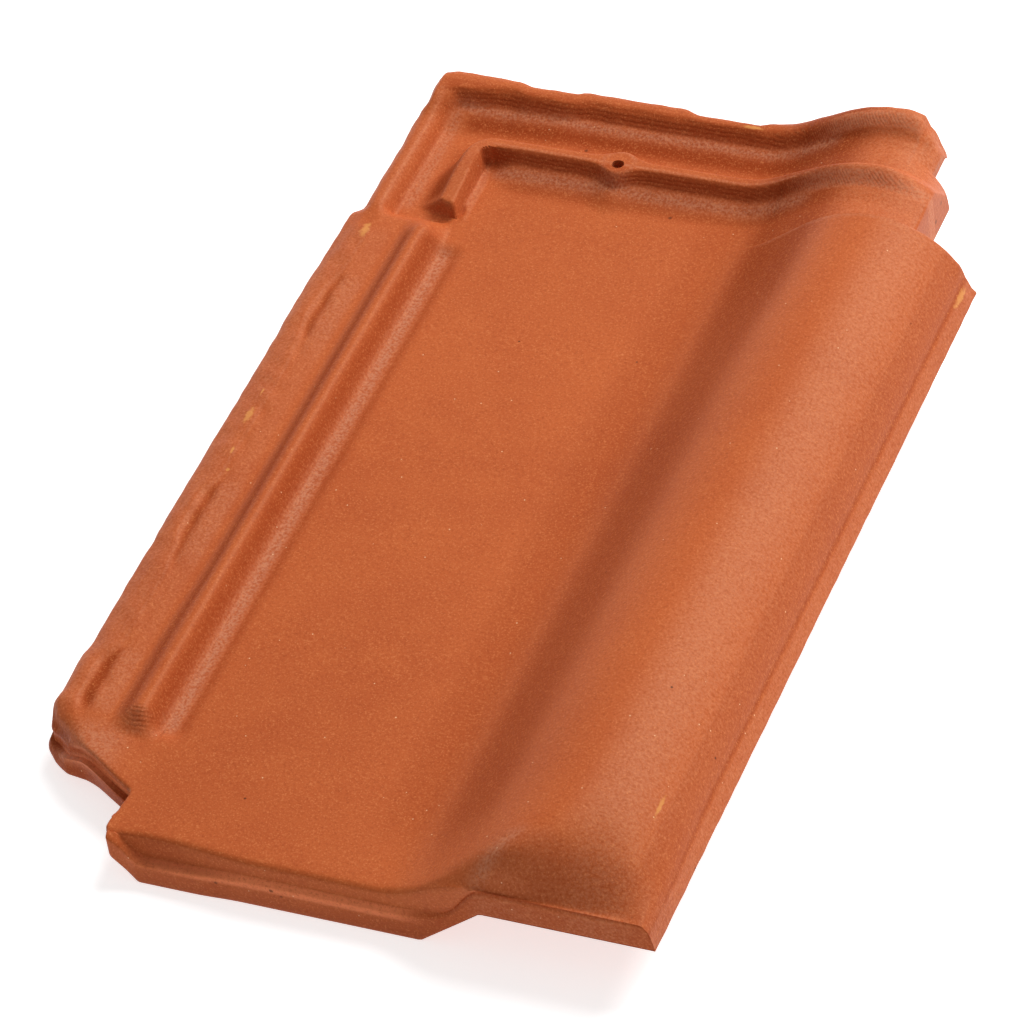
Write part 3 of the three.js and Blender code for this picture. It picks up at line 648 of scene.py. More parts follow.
def cut_run(start, end):
    step = end - start
    if abs(step[1]) < 1e-6:
        lines = ACROSS[(ACROSS > min(start[0], end[0]) + 0.3) & (ACROSS < max(start[0], end[0]) - 0.3)]
        lines = lines if step[0] > 0 else lines[::-1]
        return [np.array([x, start[1]]) for x in lines]
    if abs(step[0]) < 1e-6:
        lines = ALONG[(ALONG > min(start[1], end[1]) + 0.2) & (ALONG < max(start[1], end[1]) - 0.2)]
        lines = lines if step[1] > 0 else lines[::-1]
        return [np.array([start[0], y]) for y in lines]
    count = max(1, round(float(np.hypot(*step)) / 0.9))
    return [start + step * k / count for k in range(1, count)]


print("A square corner gets", len(arc_points((0, 9), (0, 0), (9, 0), 2)), "points")


# %% [markdown]
# The loop runs anticlockwise seen from above, so the outward direction at each point is the tangent turned
# to the right.

# %% Sample the outline
def sample_outline(corners):
    arcs = []
    for k, (x, y, radius) in enumerate(corners):
        before = corners[k - 1][:2]
        after = corners[(k + 1) % len(corners)][:2]
        arcs.append(arc_points(before, (x, y), after, radius))
    points = []
    for k, arc in enumerate(arcs):
        points += arc
        points += cut_run(arc[-1], arcs[(k + 1) % len(arcs)][0])
    return np.array(points)


def outward_normals(loop):
    ahead = np.roll(loop, -1, axis=0) - loop
    behind = loop - np.roll(loop, 1, axis=0)
    ahead /= np.linalg.norm(ahead, axis=1)[:, None]
    behind /= np.linalg.norm(behind, axis=1)[:, None]
    tangent = ahead + behind
    tangent /= np.linalg.norm(tangent, axis=1)[:, None]
    return np.stack([tangent[:, 1], -tangent[:, 0]], axis=1)


outline = sample_outline(CORNERS)
normals = outward_normals(outline)
print("Outline points:", len(outline))

# %% [markdown]
# ## Edges that aren't straight
# A pressed tile keeps a little flash where the mould halves met, and the head edge is broken where the
# slab was cut. Both only push the rim in or out by up to four millimetres, and the push fades a few
# millimetres inside, so the ribs stay straight.

# %% Push the rim in and out
LEFT_FLASH = [(38, 1.2), (44, 1.1), (50, -1.3), (56, -1.8), (62, -1.1), (72, -1.6), (80, -1.6),
              (85, -0.7), (128, -0.9), (141, -0.5), (147, -0.9), (182, -0.8), (257, -0.5), (278, -0.9),
              (315, -0.1), (330, 0.3), (340, -0.2), (370, 0.1), (380, -0.5), (386, 0.1), (392, 1.5),
              (400, 1.1)]
HEAD_FLASH = [(8, 0.4), (14, 2.4), (19, 3.9), (34, 3.7), (43, 3.4), (51, 1.5), (68, 1.7), (72, 3.1),
              (112, 2.9), (119, 0.6), (143, 0.5), (149, 2.6), (160, 2.6), (185, 0.8), (200, 0.2),
              (211, 0.2), (219, -0.9)]
SWING_LENGTH = 70
FLASH_DEPTH = (SIDE_EDGE, 15)
TAIL_CORNER = dict(run=(48, 60), swell=0.35, swell_run=(11, 14, 20, 24), pinch=0.5, pinch_run=(7, 11))
FOOT_FRONT = dict(back=0.7, run=(52, 58, 78, 96))


def push_x(x, y):
    left = 1 - smooth(x, *FLASH_DEPTH)
    flash = wander(y, LEFT_FLASH) + 0.12 * wobble(x, y, 9, 3)
    right = smooth(x, 246, RIGHT_EDGE) * 0.08 * wobble(x, y, 12, 5)
    swing = np.clip(1 - np.abs(x - SKIRT["top"]) / (RIGHT_EDGE - SKIRT["top"]), 0, 1)
    swing = swing * (SKIRT["top_at_tail"] - SKIRT["top"]) * (1 - smooth(y, 0, SWING_LENGTH))
    t = TAIL_CORNER
    tail = t["swell"] * ridge(y, *t["swell_run"]) - t["pinch"] * (1 - smooth(y, *t["pinch_run"]))
    tail = tail * (x > 44) * (1 - smooth(x, *t["run"]))
    return head_inset(x, y) + left * flash + right + swing + tail


def push_y(x, y):
    head = smooth(y, 399, LENGTH) * (wander(x, HEAD_FLASH) + 0.12 * wobble(x, y, 8, 4))
    front = FOOT_FRONT["back"] * ridge(x, *FOOT_FRONT["run"]) * (1 - smooth(y, 0, 1.6))
    return head - front + tail_shift(x, y)


def pushed(plan):
    x, y = plan[:, 0], plan[:, 1]
    return np.stack([x + push_x(x, y), y + push_y(x, y)], axis=1)


print("Rim moves by up to", round(float(np.abs(pushed(outline) - outline).max()), 2), "mm")


# %% [markdown]
# ## Sheets of triangles
# The upper and lower faces are grids cut to the outline. A constrained Delaunay triangulation does the
# cutting. It runs on the grid's line numbers instead of millimetres, so close rows stay rows and long
# thin cells don't turn into slivers.

# %% Inside or near a loop
def line_number(value, lines):
    return np.interp(value, lines, np.arange(len(lines)))


def inside(points, loop):
    result = np.zeros(len(points), bool)
    x, y = points[:, 0], points[:, 1]
    for a, b in zip(loop, np.roll(loop, -1, axis=0)):
        crosses = (a[1] > y) != (b[1] > y)
        if a[1] != b[1]:
            at = (b[0] - a[0]) * (y - a[1]) / (b[1] - a[1]) + a[0]
            result ^= crosses & (x < at)
    return result


def near(points, loop, gap):
    cells = {}
    for p in loop:
        cells.setdefault((int(p[0] // 2), int(p[1] // 2)), []).append(p)
    close = np.zeros(len(points), bool)
    for n, p in enumerate(points):
        i, j = int(p[0] // 2), int(p[1] // 2)
        for di in (-1, 0, 1):
            for dj in (-1, 0, 1):
                for q in cells.get((i + di, j + dj), ()):
                    if abs(q[0] - p[0]) < gap and abs(q[1] - p[1]) < gap:
                        close[n] = True
    return close


print("Grid point at the notch's corner is on the tile:", bool(inside(np.array([[6.0, 30.0]]), outline)[0]))


# %% [markdown]
# Grid points outside the outline or inside the nail hole go, and so do those that nearly touch a rim point,
# because they'd make slivers. The triangulation keeps the rims as edges. It also fills the notch and the
# hole, so triangles that lie wholly on the rims are kept only where their middle is on the tile.

# %% Cut a grid to its loops
def cut_sheet(loops, across, along):
    rims = [np.stack([line_number(lp[:, 0], across), line_number(lp[:, 1], along)], axis=1) for lp in loops]
    i, j = np.meshgrid(np.arange(len(across), dtype=float), np.arange(len(along), dtype=float))
    grid = np.stack([i.ravel(), j.ravel()], axis=1)
    grid = grid[inside(grid, rims[0])]
    for rim in rims[1:]:
        grid = grid[~inside(grid, rim)]
    for rim in rims:
        grid = grid[~near(grid, rim, 0.45)]
    plan = np.concatenate(loops + [np.stack([np.interp(grid[:, 0], np.arange(len(across)), across),
                                             np.interp(grid[:, 1], np.arange(len(along)), along)], axis=1)])
    index = np.concatenate(rims + [grid])
    edges = []
    first = 0
    for rim in rims:
        edges += [(first + k, first + (k + 1) % len(rim)) for k in range(len(rim))]
        first += len(rim)
    result = delaunay_2d_cdt([Vector(p) for p in index], edges, [], 1, 1e-7, True)
    origin = [group[0] for group in result[3]]
    faces = np.array([[origin[v] for v in face] for face in result[2]])
    on_rims = (faces < first).all(axis=1)
    middle = index[faces[on_rims]].mean(axis=1)
    keep = inside(middle, rims[0])
    for rim in rims[1:]:
        keep &= ~inside(middle, rim)
    on_rims[on_rims] = ~keep
    return plan, faces[~on_rims]


hole_turn = np.linspace(0, 2 * np.pi, 25)[:-1]
hole = np.stack([NAIL_HOLE["x"] + NAIL_HOLE["radius"] * np.cos(hole_turn),
                 NAIL_HOLE["y"] + NAIL_HOLE["radius"] * 0.95 * np.sin(hole_turn)], axis=1)
print("Nail hole:", 2 * NAIL_HOLE["radius"], "mm wide,", len(hole), "points")

# %% [markdown]
# ## Edge profiles
# Between the two sheets runs a wall. Each point of the outline gets a column of points: a rounded upper
# edge, then the ledge that the mould's parting line leaves round the lock's tail end, then the lower
# part and a rounded lower edge.

# %% Edge sizes
EDGE_ROUND = dict(upper=1.0, lower=0.8, side=0.25, rib_end=1.1, nose=1.1, nose_run=(150, 172, 230, 243))
PARTING = dict(outer_z=8.5, inner_z=16, run=(4, 28))
NOTCH_LEDGE = dict(outer=2.4, inner=2.6, run=(10, 30))
NOTCH_UNDER = dict(outer=4.2, inner=0.7, run=(8, 28))


def parting_z(x):
    return mix(PARTING["outer_z"], PARTING["inner_z"], smooth(x, *PARTING["run"]))


def along_notch(plan):
    x, y = plan[:, 0], plan[:, 1]
    return (1 - smooth(y, 46, 62)) * (1 - smooth(x, 45.5, 47)) * (y > 12)


print("Points along the notch:", int((along_notch(outline) > 0.5).sum()))


# %% [markdown]
# A row holds two numbers for each point of the outline: how far it stands out along the normal, and its
# height. Round the notch the wall bulges into the ledge and slopes back under it.

# %% Edge columns
def edge_columns(plan):
    x, y = plan[:, 0], plan[:, 1]
    top, low = upper_face(x, y), lower_face(x, y)
    space = np.maximum(top - low, 0.3)
    side = x > RIGHT_EDGE - 1
    rib_end = smooth(y, 396, 402) * (1 - smooth(x, 209, 214))
    notch = along_notch(plan)
    r, over, below = EDGE_ROUND, NOTCH_LEDGE, NOTCH_UNDER
    corner = notch * mix(1.8, 0.5, smooth(x, 10, 26))
    nose_lip = r["nose"] * ridge(x, *r["nose_run"]) * (y < 8)
    radius = np.where(side, r["side"], r["upper"] + corner) + r["rib_end"] * rib_end + nose_lip
    radius = np.minimum(radius, space * 0.3)
    low_round = np.minimum(radius, r["lower"])
    bulge = notch * (1 - 0.55 * smooth(y, 44, 52))
    ledge = bulge * mix(over["outer"], over["inner"], smooth(x, *over["run"]))
    under = bulge * mix(below["outer"], below["inner"], smooth(x, *below["run"]))
    ledge_z = low + np.clip((parting_z(x) - low) / space, 0.35, 0.65) * space
    rows = []
    for turn in np.linspace(0, np.pi / 2, 4):
        rows.append((-radius * (1 - np.sin(turn)), top - radius * (1 - np.cos(turn))))
    start_z = top - radius
    for share in (0.35, 0.7):
        rows.append((-0.4 * notch * math.sin(math.pi * share), mix(start_z, ledge_z + 0.05 * space, share)))
    rows.append((0.05 * ledge, ledge_z + 0.04 * space))
    rows.append((0.85 * ledge, ledge_z + 0.02 * space))
    rows.append((mix(ledge, under, 0.15), ledge_z - 0.04 * space))
    end_z = low + low_round
    for share in (0.35, 0.75):
        rows.append((mix(ledge, under, 0.5 + 0.5 * share), mix(ledge_z - 0.04 * space, end_z, share)))
    for turn in np.linspace(0, np.pi / 2, 3):
        rows.append((0.95 * under - low_round * (1 - np.cos(turn)), low + low_round * (1 - np.sin(turn))))
    return rows


columns = edge_columns(outline)
print("Rows in the wall:", len(columns))

# %% [markdown]
# ## One closed body
# The sheets and the walls are sewn through the points that they share, so the body is closed and every
# face points out. The nail hole is a second loop with a wall of its own.

# %% Sew the body
HOLE_ROWS = 7


def ring_faces(lower_row, upper_row):
    k = np.arange(len(lower_row))
    n = (k + 1) % len(lower_row)
    quads = np.stack([upper_row[k], lower_row[k], lower_row[n], upper_row[n]], axis=1)
    return np.concatenate([quads[:, [0, 1, 2]], quads[:, [0, 2, 3]]])


def add_points(plan, z):
    start = sum(len(part) for part in parts)
    parts.append(np.column_stack([plan, z]))
    return start + np.arange(len(plan))


def add_wall(rows, round_a_hole=False):
    for above, below in zip(rows[:-1], rows[1:]):
        faces.append(ring_faces(above, below) if round_a_hole else ring_faces(below, above))


upper_loop = outline + normals * columns[0][0][:, None]
lower_loop = outline + normals * columns[-1][0][:, None]
upper_plan, upper_faces = cut_sheet([upper_loop, hole], ACROSS, ALONG)
lower_plan, lower_faces = cut_sheet([lower_loop, hole], BELOW_ACROSS, BELOW_ALONG)
upper_z = upper_face(upper_plan[:, 0], upper_plan[:, 1])
lower_z = lower_face(lower_plan[:, 0], lower_plan[:, 1])

parts = []
faces = [upper_faces, lower_faces[:, ::-1] + len(upper_plan)]
upper = add_points(pushed(upper_plan), upper_z)
lower = add_points(pushed(lower_plan), lower_z)
rim_push = pushed(outline) - outline
rim_rows = [add_points(outline + normals * offset[:, None] + rim_push, z) for offset, z in columns[1:-1]]
rim = slice(0, len(outline))
add_wall([upper[rim]] + rim_rows + [lower[rim]])
at_hole = slice(len(outline), len(outline) + len(hole))
hole_rows = [add_points(hole, mix(upper_z[at_hole], lower_z[at_hole], share))
             for share in np.linspace(0, 1, HOLE_ROWS)[1:-1]]
add_wall([upper[at_hole]] + hole_rows + [lower[at_hole]], round_a_hole=True)

points = np.concatenate(parts)
faces = np.concatenate(faces)
print("Body:", len(points), "points,", len(faces), "triangles")


# %% [markdown]
# ## Into the scene
# The tile frame becomes the scene's frame: millimetres to metres, tipped about X until it lies on its
# lugs and the edge of its tail foot, and moved so that the lock's edge and the nose's edge meet the
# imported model's box.

# %% Place the body
def to_scene(tile_points):
    x, y, z = tile_points.T * MILLIMETRE
    cos, sin = math.cos(tip), math.sin(tip)
    shift_x = cad_low.x - SIDE_EDGE * MILLIMETRE
    shift_y = cad_low.y + NOSE_EDGE_Z * MILLIMETRE * sin
    return np.column_stack([x + shift_x, y * cos - z * sin + shift_y, y * sin + z * cos])


mesh = bpy.data.meshes.new("roof_tile_clay")
mesh.from_pydata(to_scene(points).tolist(), [], faces.tolist())
mesh.validate()
mesh.polygons.foreach_set("use_smooth", np.ones(len(mesh.polygons), bool))
mesh.set_sharp_from_angle(angle=math.radians(50))
tile = bpy.data.objects.new("roof_tile_clay", mesh)
bpy.context.scene.collection.objects.link(tile)
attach(tile, "root")
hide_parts("roof_tile")
print("Mesh triangles:", len(mesh.polygons))

# %% [markdown]
# ## Mould marks, painted shade and painted light
# The mould leaves its marks: fillets that dragged on the plaster come out paler, with fine lines or rows
# of dots. Over them go painted shade and painted light. Hollows, creases, walls towards the tail and
# flanks turned from the lamp get a painted shade, and parts of the pan are a little darker. Ledges and
# walls that the lamp leaves in shadow get painted light, a brighter clay, and thin painted highlights
# run along some crests and edges. All of them follow the ribs, so they are written as shares at the
# mesh's own points, from the same sizes. Where two marks of one kind meet, the stronger one counts.

# %% A mark with soft ends
def in_run(t, start, end, soft=4):
    return smooth(t, start - soft, start + soft) * (1 - smooth(t, end - soft, end + soft))


print("A run from 10 to 20 holds", round(read(lambda t: in_run(t, 10, 20), 15), 2), "of the mark at 15")


# %% [markdown]
# On the lock the marks follow the ribs: pale fillets and a lined band where the outer rib didn't fill.
# Painted shade darkens the valley behind the outer rib, the tall rib's left flank and the channel, and a
# painted highlight runs along the outer rib's crest. Round the notch the ledge gets painted light, and
# the wall under the rim painted shade.

# %% Marks on the lock
def lock_marks(x, y, z):
    lock = in_run(y, 54, 318)
    crest = wander(y, OUTER_RIB_LINE)
    hollow = lock * unfilled(y) * in_run(x, crest + 1.4, 17.4, 1.2)
    fillet = lock * around(x, 47.4, 2.8)
    band = lock * in_run(x, 17.4, 25.5, 1.6) * (0.35 + 0.65 * unfilled(y))
    rim = lock * in_run(x, SIDE_EDGE, crest - 1, 2)
    end = in_run(x, 16, 47, 5) * (1 - smooth(y, 42, 54)) * smooth(y, 18, 24) * smooth(z, 20, 21.5)
    notch = (1 - smooth(y, 52, 58)) * (x < 46.5) * (y > 14)
    above_parting = z - parting_z(x)
    ledge = notch * smooth(x, 6, 14)
    under_rim = notch * (1 - smooth(z, 17.6, 18.8)) * (1 - ledge * around(above_parting, 0.5, 1.2))
    arcs = around(x, 36.5, 4.4) * in_run(y, 49.8, 56.6, 1.3)
    higher = smooth(y, *LOW_SIDE)
    left_flank = lock * around(x, mix(31.6, 33, higher), mix(3.2, 2.5, higher))
    # Pale: rubbed fillets and a painted crest highlight. Brighter ledge: painted light. Dark: painted
    # shade.
    return dict(
        pale_and_highlight=[0.75 * fillet, 0.3 * band, 0.2 * rim, 0.3 * lock * around(x, crest, 0.9), 0.45 * end,
              0.25 * arcs],
        painted_light=[ledge * around(above_parting, 0.5, 1.0)],
        shade_and_dark_tone=[mix(0.85, 0.6, smooth(y, 80, 110)) * hollow, 0.75 * left_flank, 0.25 * fillet,
              0.58 * lock * around(x, 42, 2.8), 0.32 * lock * around(x, 52.3, 1.7), 0.2 * arcs,
              mix(0.7, 1.0, smooth(x, 30, 44)) * under_rim, 0.12 * lock * in_run(x, SIDE_EDGE, 27)],
        lined=[0.45 * lock * around(x, 44.2, 1.6), 0.35 * band, 1.1 * arcs, 0.5 * notch * (z < 19)],
        dotted=[0.6 * band])


print("Marks on the lock:", ", ".join(lock_marks(*np.ones((3, 1)))))


# %% [markdown]
# At the head, the walls and feet of the two ribs dragged most: both carry lines, and the feet turn pale
# with dots. On the pan the walls towards the tail, the feet, the floor in front of the nail rib, the
# gutter, the inner corner and the hollow beside the short rib get painted shade, where the ribs shade
# them. Where the ribs climb the roll the walls lean less, turn pale and get painted light, and thin
# painted highlights run along the rib's top edge, the cut edges and the rim's crest.

# %% Marks on the head
def head_marks(x, y, z):
    roll_side = smooth(x, 165, 185)
    distance = l_rib_distance(x, y)
    nail_wall = (y > 346) * ridge(distance, 0.5, 2, 5.5, 8)
    head_wall = ridge(y, 395.5, 397, 401, 402.5)
    walls = np.maximum(nail_wall * smooth(x, 46, 50), head_wall * in_run(x, 14, 212))
    foot = (y > 346) * smooth(x, 46, 50) * around(distance, 8.6, 3.0) * in_run(x, 50, 178)
    head_foot = around(y, 394.2, 2.2) * in_run(x, 23, 180)
    feet = np.maximum(foot, head_foot)
    margin = around(x, 23.2, 2.6) * in_run(y, 338, 394)
    rib_edge = around(distance, 0.3, 0.6) * in_run(x, 46, 214) * (y > 360)
    ring = around(np.hypot(x - NAIL_HOLE["x"], y - NAIL_HOLE["y"] - 0.8), 6.2, 0.7)
    short_line = around(x, 46.6, 1.3) * in_run(y, 340, 364)
    short_top = in_run(x, 38.2, 44) * in_run(y, 336.5, 376)
    cut_line = around(x, 211.6, 0.8) * (y > 383) + around(x, 224.6, 0.7) * in_run(y, 346, 366)
    tops = in_run(x, 192, 223, 8) * (y > 343)
    inner_corner = around(x, 45.6, 1.6) * around(y, 365.6, 1.8)
    channel = around(y, 388.5, 5) * in_run(x, 28, 178)
    beside = in_run(x, 29, 37.6, 3) * in_run(y, 341, 374) * mix(1, 0.5, smooth(y, 345, 370))
    short_flank = in_run(x, 43.8, 46, 0.6) * in_run(y, 336, 364)
    below = (y > 346) * smooth(x, 46, 50) * around(distance, 14, 5) * in_run(x, 56, 170, 8)
    # Pale: rubbed feet, and painted highlights on edges and crests. Walls over the roll: painted light.
    # Dark: painted shade.
    return dict(
        pale_and_highlight=[0.5 * margin, 0.55 * foot, 0.6 * head_foot, 0.55 * walls * roll_side, 0.4 * rib_edge,
              0.2 * tops, 0.35 * ring, 0.4 * short_line, 0.14 * short_top, 0.5 * cut_line,
              0.25 * around(x, 15.5, 1.6) * in_run(y, 332, 398), 0.35 * (x > 213.5) * (y > 386)],
        painted_light=[0.55 * roll_side * np.maximum(nail_wall, head_wall * (x < 212))],
        shade_and_dark_tone=[0.85 * inner_corner, 0.85 * channel, 0.55 * walls * (1 - roll_side), 0.95 * beside,
              0.5 * below, 0.4 * around(x, 19.4, 1.5) * in_run(y, 336, 392), 0.6 * feet,
              0.25 * around(y, 376, 3) * in_run(x, 50, 210), 0.2 * short_flank],
        lined=[0.35 * margin, 0.6 * foot, 0.5 * head_foot, mix(0.7, 0.45, roll_side) * walls],
        dotted=[feet])


print("Marks on the head:", ", ".join(head_marks(*np.ones((3, 1)))))


# %% [markdown]
# The body has few mould marks, because the mould lifts off it cleanly; its shares are mostly painted
# shade and light. Painted shade runs down the roll's flank, along the skirt's fold and the strip before
# it, on the nose's slope, the tail's front and its recess, and parts of the pan are a little darker. A
# painted sheen lies on the roll's right shoulder beside the skirt, painted highlights run along the
# body's end, the nose's edge and a streak where the flank meets the nose, and the ledge at the tail gets
# painted light. The cut strip at the skirt's edge is paler clay.

# %% Marks on the body
def body_marks(x, y, z):
    body = y < BODY_END
    flank = in_run(x, 158, mix(184, 192, smooth(y, 250, 320)), 8) * smooth(y, 8, 40)
    flank = flank * mix(1, 1.4, smooth(y, 270, 330))
    before_flank = in_run(x, 136, 160, 9) * smooth(y, 8, 40)
    strip = body * in_run(x, 240.2, 247.4, 0.7)
    fold = body * around(x, 247.3, 0.5)
    low_part = (1 - smooth(y, 90, 230)) * (x < 150)
    high_part = smooth(y, 240, 330) * in_run(x, 60, 150, 8)
    soft_band = around(y, 335, 5) * in_run(x, 60, 165, 8)
    slope = smooth(x, 180, 200) * (1 - smooth(y, 16, 22)) * smooth(y, 2, 4)
    low_crest = in_run(x, 186, 236, 5) * (1 - smooth(y, 60, 140))
    front = (y < 2) * smooth(x, 60, 190) * (z < 29)
    recess = in_run(y, 2, 3.4, 0.4) * in_run(x, 50, 78, 10) * (z < 19)
    streak = around(x - 0.8 * y, 184, 4) * in_run(y, 3, 18)
    nose_edge = in_run(x, 184, 247, 4) * (1 - smooth(y, 1.5, 3.4)) * mix(1, 0.3, smooth(x, 195, 225))
    body_end = around(y, BODY_END - 0.6, 0.8) * in_run(x, 166, 240, 6)
    tail_ledge = (1 - smooth(y, 1.4, 2)) * smooth(z, 7.6, 9.4) * in_run(x, 58, 160, 8) * (z < 20)
    # Pale: mostly painted highlights and a painted sheen. Ledge: painted light. Dark: mostly painted shade.
    return dict(
        pale_and_highlight=[0.14 * slope, 0.2 * body * (x > 248), 0.45 * body_end, 0.6 * streak, 0.2 * nose_edge,
              0.24 * body * in_run(x, 216, 243, 7)],
        painted_light=[tail_ledge],
        shade_and_dark_tone=[0.55 * flank, 0.35 * before_flank, 0.3 * strip, 0.6 * fold, 0.1 * low_part,
              0.12 * high_part, 0.15 * soft_band, 0.28 * slope, 0.14 * low_crest, 0.45 * front,
              0.3 * recess])


print("Marks on the body:", ", ".join(body_marks(*np.ones((3, 1)))))


# %% [markdown]
# Drag lines run along each fillet. Their spacing comes from one value at each point, the phase, which
# grows across the lines: with x on the lock, with height on the walls, and round a centre in the small
# fan of arcs at the lock rib's tail end. The material turns it into stripes.

# %% Drag lines, and all marks onto the mesh
def line_phases(x, y, z):
    phase = np.where((x < 46) & (y < 322), x / 1.3, z / 1.32)
    phase = np.where((x < 27) & (y < 391), x / 1.3, phase)
    phase = np.where((x < 46.5) & (y < 44), z / 1.2, phase)
    phase = np.where((x > 165) & (y > 350), (x + 1.5 * z) / 1.7, phase)
    in_arcs = (np.abs(x - 36.5) < 8) & (y > 46) & (y < 60)
    return np.where(in_arcs, np.hypot(x - 36.5, y - 60) / 1.3, phase)


def finish_shares(x, y, z):
    zones = [lock_marks(x, y, z), head_marks(x, y, z), body_marks(x, y, z)]
    shares = {name: np.max(sum((zone.get(name, []) for zone in zones), []), axis=0)
              for name in ("pale_and_highlight", "painted_light", "shade_and_dark_tone", "lined", "dotted")}
    return shares | dict(line_phase=line_phases(x, y, z))


plans = np.concatenate([upper_plan, lower_plan] + [outline] * (len(columns) - 2)
                       + [hole] * (HOLE_ROWS - 2))
marks = finish_shares(plans[:, 0], plans[:, 1], points[:, 2])
for name, share in marks.items():
    mesh.attributes.new(name, "FLOAT", "POINT").data.foreach_set("value", share.astype(np.float32))
print("Palest share:", round(float(marks["pale_and_highlight"].max()), 2))

# %% [markdown]
# ## Fired clay
# Red clay fires to a warm orange that drifts by a few percent over the tile. Sand in the body shows as
# pale grains, with a few painted glints, bright specks that stand in for light off a grain, and the matt
# skin has a grain of its own. Everything comes from noise in the object's own space, so the finish stays
# on the tile however it is turned.

# %% Node helpers
clay = bpy.data.materials.new("fired_clay")
clay.use_nodes = True
tree = clay.node_tree


def shade(kind, inputs, **settings):
    made = tree.nodes.new("ShaderNode" + kind)
    for name, value in settings.items():
        setattr(made, name, value)
    for key, value in inputs.items():
        if isinstance(value, bpy.types.NodeSocket):
            tree.links.new(value, made.inputs[key])
        else:
            made.inputs[key].default_value = value
    return made


def maths(operation, a, b=0.0):
    return shade("Math", {0: a, 1: b}, operation=operation).outputs[0]


def blend(share, a, b):
    return shade("Mix", {0: share, 6: a, 7: b}, data_type="RGBA").outputs[2]


def fade(value, start, end, low=0.0, high=1.0):
    return shade("MapRange", {0: value, 1: start, 2: end, 3: low, 4: high}).outputs[0]


def mark(name):
    return shade("Attribute", {}, attribute_name=name).outputs["Fac"]


place = shade("TexCoord", {}).outputs["Object"]


def noise(scale, detail):
    return shade("TexNoise", {"Vector": place, "Scale": scale, "Detail": detail}).outputs["Fac"]


print("Nodes in a new material:", len(tree.nodes))

# %% [markdown]
# ## Clay colours
# Each colour is mixed over the last one by a share: the slow drift of the firing first, then the marks
# from the mesh with their painted shade and light, then the drag lines, and the grains of sand and the
# painted glints on top. Noise breaks up every mark, because a smooth gradient on clay looks painted.

# %% Clay colours
CLAY = (0.525, 0.112, 0.030, 1)
CLAY_DARKER = (0.470, 0.094, 0.025, 1)
CLAY_WARMER = (0.555, 0.127, 0.034, 1)
# Dark clay for the drag lines and the gaps in the sand, and also the colour of the painted shade
DARK_CLAY_AND_SHADE = (0.290, 0.044, 0.011, 1)
# Pale clay of the rubbed fillets, and also the colour of painted highlights and painted sheen
PALE_CLAY_AND_HIGHLIGHT = (0.560, 0.240, 0.140, 1)
# Painted light: a brighter clay laid on ledges and walls that the lamp leaves in shadow
PAINTED_LIGHT_CLAY = (0.820, 0.222, 0.088, 1)
GRAIN = (0.700, 0.220, 0.075, 1)
# Painted glint: a bright speck that stands in for light off a grain of sand
PAINTED_GLINT = (0.880, 0.560, 0.320, 1)
# Painted shade: the dark inside small pits that the mesh doesn't have
PIT_SHADE = (0.140, 0.030, 0.010, 1)
SLIP = (0.760, 0.340, 0.090, 1)
print("Fired clay is", round(CLAY[0] / CLAY[2], 1), "times as red as it is blue")

# %% [markdown]
# The firing's tones and the marks go on first: painted shade, painted light, and the pale fillets with
# their painted highlights. The shares come from the mesh, and fine noise makes each of them a little
# patchy.

# %% Tones of the firing and the marks
drift = fade(noise(11, 3), 0.35, 0.65)
cloud = fade(noise(55, 3), 0.35, 0.65)
fine = noise(620, 3)
mottle = noise(900, 2)
sand = noise(1500, 1)
colour = blend(drift, CLAY_DARKER, CLAY)
colour = blend(maths("MULTIPLY", cloud, 0.45), colour, CLAY_WARMER)
# Painted shade: hollows, creases, shaded walls and flanks darken towards the dark clay
colour = blend(maths("MULTIPLY", mark("shade_and_dark_tone"), fade(fine, 0.3, 0.7, 0.8, 1.0)), colour, DARK_CLAY_AND_SHADE)
# Painted light: ledges and walls in shadow brighten
colour = blend(maths("MULTIPLY", mark("painted_light"), fade(fine, 0.3, 0.7, 0.7, 1.0)), colour, PAINTED_LIGHT_CLAY)
speckle = fade(mottle, 0.40, 0.60, 0.30, 1.0)
# Pale rubbed fillets, with painted highlights on crests and edges and a painted sheen on the roll
pale_and_highlight_share = maths("MULTIPLY", mark("pale_and_highlight"), speckle)
colour = blend(pale_and_highlight_share, colour, PALE_CLAY_AND_HIGHLIGHT)
print("Nodes for the tones:", len(tree.nodes))

# %% [markdown]
# The drag lines are a sine of the phase, bent by slow noise, because ruled lines would look machined.
# Where a foot is dotted, a second sine across the tile takes the lines out and leaves rows of dots.

# %% Drag lines and dots
DOT_SPACING = 0.0015
slow = noise(130, 2)
bend = maths("MULTIPLY", slow, 1.1)
wave = maths("SINE", maths("MULTIPLY", maths("ADD", mark("line_phase"), bend), 2 * math.pi))
split = shade("SeparateXYZ", {0: place}).outputs["X"]
dot_wave = maths("SINE", maths("MULTIPLY", split, 2 * math.pi / DOT_SPACING))
dot_share = maths("MULTIPLY", mark("dotted"), fade(dot_wave, -1, 1))
line = maths("MULTIPLY", mark("lined"), fade(wave, -0.6, 0.9))
line = maths("MULTIPLY", line, fade(slow, 0.38, 0.58, 0.35, 1.0))
line = maths("MULTIPLY", line, maths("SUBTRACT", 1.0, dot_share))
colour = blend(maths("MULTIPLY", line, 0.34), colour, DARK_CLAY_AND_SHADE)
print("Dots every", 1000 * DOT_SPACING, "mm")

# %% [markdown]
# The sand shows as two sizes of noise, each cut at both ends: high values are pale grains and low values
# are the darker gaps between them. One cell in ten of a coarser pattern holds a painted glint, a bright
# speck for light off a grain, and very few hold a small pit, painted dark for the shade inside it.

